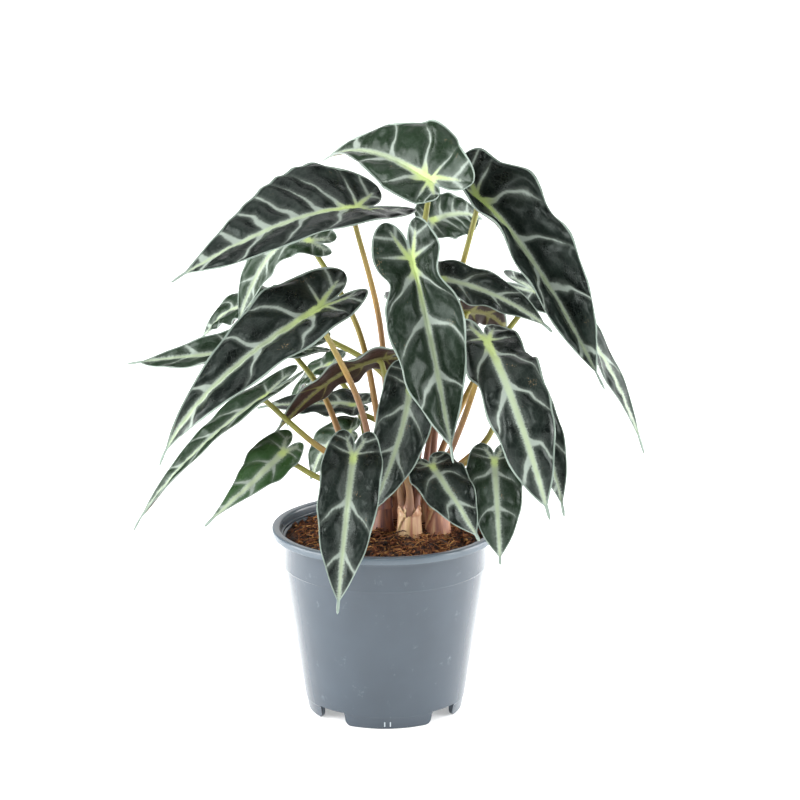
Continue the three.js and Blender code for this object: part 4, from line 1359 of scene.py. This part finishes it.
def wrap_radius(radius, angle, height, tall):
    """A shoot's radius in millimetres: swollen round its stalks, stepped at each edge, full at its foot."""
    swell = SHEATH_SWELL * math.cos(SEATS * (angle + math.pi / 2)) * between(0, height / tall, 1)
    full = 0.8 * math.exp(-((height / 9) ** 2))
    return radius + swell + full + SHEATH_STEP * (wrap_place(angle, height) - 0.6)


def sheath_tip(bm, centre, angle, foot, tall, tone_layer, tone):
    """The pointed tip of an old sheath, standing against the stalks."""
    grid = bmesh.ops.create_grid(bm, x_segments=10, y_segments=12, size=0.5)["verts"]
    for vert in grid:
        s, t = vert.co.x * 2, vert.co.y + 0.5
        narrow = (1 - t**1.6) * 0.97 + 0.03
        turn = angle + TIP_SPREAD * s * narrow
        radius = SHOOT_TOP + 0.45 - 0.5 * t + 0.8 * t * t * (1 - abs(s)) + 0.25 * math.sin(9 * t + 3 * s)
        vert.co = Vector((radius * math.cos(turn), radius * math.sin(turn), foot + tall * t)) * MM + centre
        vert[tone_layer] = tone
    faces = list({face for vert in grid for face in vert.link_faces})
    bmesh.ops.solidify(bm, geom=faces, thickness=TIP_THICKNESS * MM)


def build_shoot(name, shoot):
    bm = bmesh.new()
    foot = SOIL_EDGE - SHOOT_DEPTH
    top = shoot_top(shoot) + 1.5
    outline = [Vector((0, foot)), Vector((SHOOT_BASE - 2, foot)), Vector((SHOOT_BASE, foot + 4))]
    for step in range(1, SHOOT_ROWS + 1):
        share = step / SHOOT_ROWS
        height = foot + 4 + (top - foot - 4) * share
        radius = SHOOT_BASE + (SHOOT_TOP - SHOOT_BASE) * share - 1.2 * max(0, share - 0.9) / 0.1
        outline.append(Vector((radius - 0.2, height)))
    outline.append(Vector((2.5, top + 0.4)))
    outline.append(Vector((0, top + 0.5)))
    spin_outline(bm, outline, SHOOT_SIDES)
    centre = Vector((*shoot["at"], 0)) * MM
    tone = bm.verts.layers.float.new("tone")
    wrap = bm.verts.layers.float.new("wrap")
    for vert in bm.verts:
        radius = math.hypot(vert.co.x, vert.co.y) / MM
        if radius > 0.1:
            angle = math.atan2(vert.co.y, vert.co.x)
            height = vert.co.z / MM - SOIL_EDGE
            vert[wrap] = wrap_place(angle, height)
            wrapped = wrap_radius(radius, angle, height, shoot["tall"])
            vert.co.x *= wrapped / radius
            vert.co.y *= wrapped / radius
        vert[tone] = shoot["tone"]
        vert.co += centre
    for tip in range(TIPS):
        angle = shoot["tone"] * 9 + tip * 2.2
        tall = TIP_HEIGHT * (0.7 + 0.3 * math.sin(angle * 3))
        sheath_tip(bm, centre, angle, top - 6, tall, tone, shoot["tone"] + 0.15 * (tip - 1))
    bmesh.ops.recalc_face_normals(bm, faces=bm.faces)
    return finish_piece(bm, "sheath_" + name, "shoot_" + name, "shoot_sheath", [sheath_material], 40)


shoots = {name: build_shoot(name, shoot) for name, shoot in SHOOTS.items()}
print("shoots:", len(shoots))

# %% [markdown]
# ## Floor and light
# The photograph was taken in a white studio: white paper that runs up behind the plant, and soft light from all
# round. Matt paper scatters light evenly, so the floor is rough, and its sheen varies a little. Two large, low
# softboxes at the sides give the pot its bright flanks, one overhead and a panel at the back make the leaves shine,
# and a small key light on the camera's side opens up the shadows between them. One lamp could light it all, but its
# shadows would be hard and the satin pot would show it as a spot.

# %% Set the stage
FLOOR_WHITE = "f4f5f5"
FLOOR_HALF = 20  # metres
PAPER_SCALE = 3  # broad, faint patches in each metre
FLOOR_LIGHT = 260  # watts
WORLD_STRENGTH = 0.13
PLANT_MIDDLE = (0, 0, 0.16)
STUDIO_LIGHTS = {  # place in metres, size in metres, power in watts
    "left softbox": ((-0.98, -0.2, 0.3), 1.05, 29),
    "right softbox": ((0.98, -0.02, 0.3), 1.05, 26),
    "overhead softbox": ((-0.1, -0.2, 1.4), 1.2, 11),
    "back panel": ((0, 2.6, 1.5), 2.4, 20),
    "key light": ((-0.35, -1.5, 1.2), 0.35, 11),
}


def build_floor():
    bm = bmesh.new()
    bmesh.ops.create_grid(bm, x_segments=1, y_segments=1, size=FLOOR_HALF)
    mesh = bpy.data.meshes.new("floor")
    bm.to_mesh(mesh)
    bm.free()
    material, tree = new_material("white studio floor")
    place = add_node(tree, "TexCoord").outputs["Object"]
    paper = add_node(tree, "TexNoise", {"Vector": place, "Scale": PAPER_SCALE, "Detail": 2})
    rough = add_node(tree, "MapRange", {"Value": paper, "To Min": 0.75, "To Max": 0.85})
    finish_surface(tree, Base_Color=FLOOR_WHITE, Roughness=rough)
    mesh.materials.append(material)
    floor = bpy.data.objects.new("floor", mesh)
    bpy.context.scene.collection.objects.link(floor)
    return floor


def soft_light(name, place, size, watts, aim=PLANT_MIDDLE):
    """A square area light that faces the middle of the plant, or another point."""
    data = bpy.data.lights.new(name, "AREA")
    data.energy = watts
    data.size = size
    light = bpy.data.objects.new(name, data)
    light.location = place
    light.rotation_euler = (Vector(aim) - Vector(place)).to_track_quat("-Z", "Y").to_euler()
    bpy.context.scene.collection.objects.link(light)
    return light


def light_stage():
    world = bpy.data.worlds.new("white studio")
    world.use_nodes = True
    glow = world.node_tree.nodes["Background"].inputs
    glow["Color"].default_value = linear("ffffff")
    glow["Strength"].default_value = WORLD_STRENGTH
    bpy.context.scene.world = world
    bpy.context.scene.view_settings.view_transform = "Standard"
    for name, (place, size, watts) in STUDIO_LIGHTS.items():
        soft_light(name, place, size, watts)


def light_floor(floor):
    """A large light that whitens the floor behind the plant. It reaches the floor alone and casts no shadow."""
    light = soft_light("floor light", (0, 2.6, 2.2), 5, FLOOR_LIGHT, aim=(0, 2.61, 0))
    light.data.use_shadow = False
    lit = bpy.data.collections.new("lit by the floor light")
    lit.objects.link(floor)
    light.light_linking.receiver_collection = lit


floor_piece = build_floor()
light_stage()
light_floor(floor_piece)
print("lights:", len(STUDIO_LIGHTS) + 1)

# %% [markdown] ## Finish
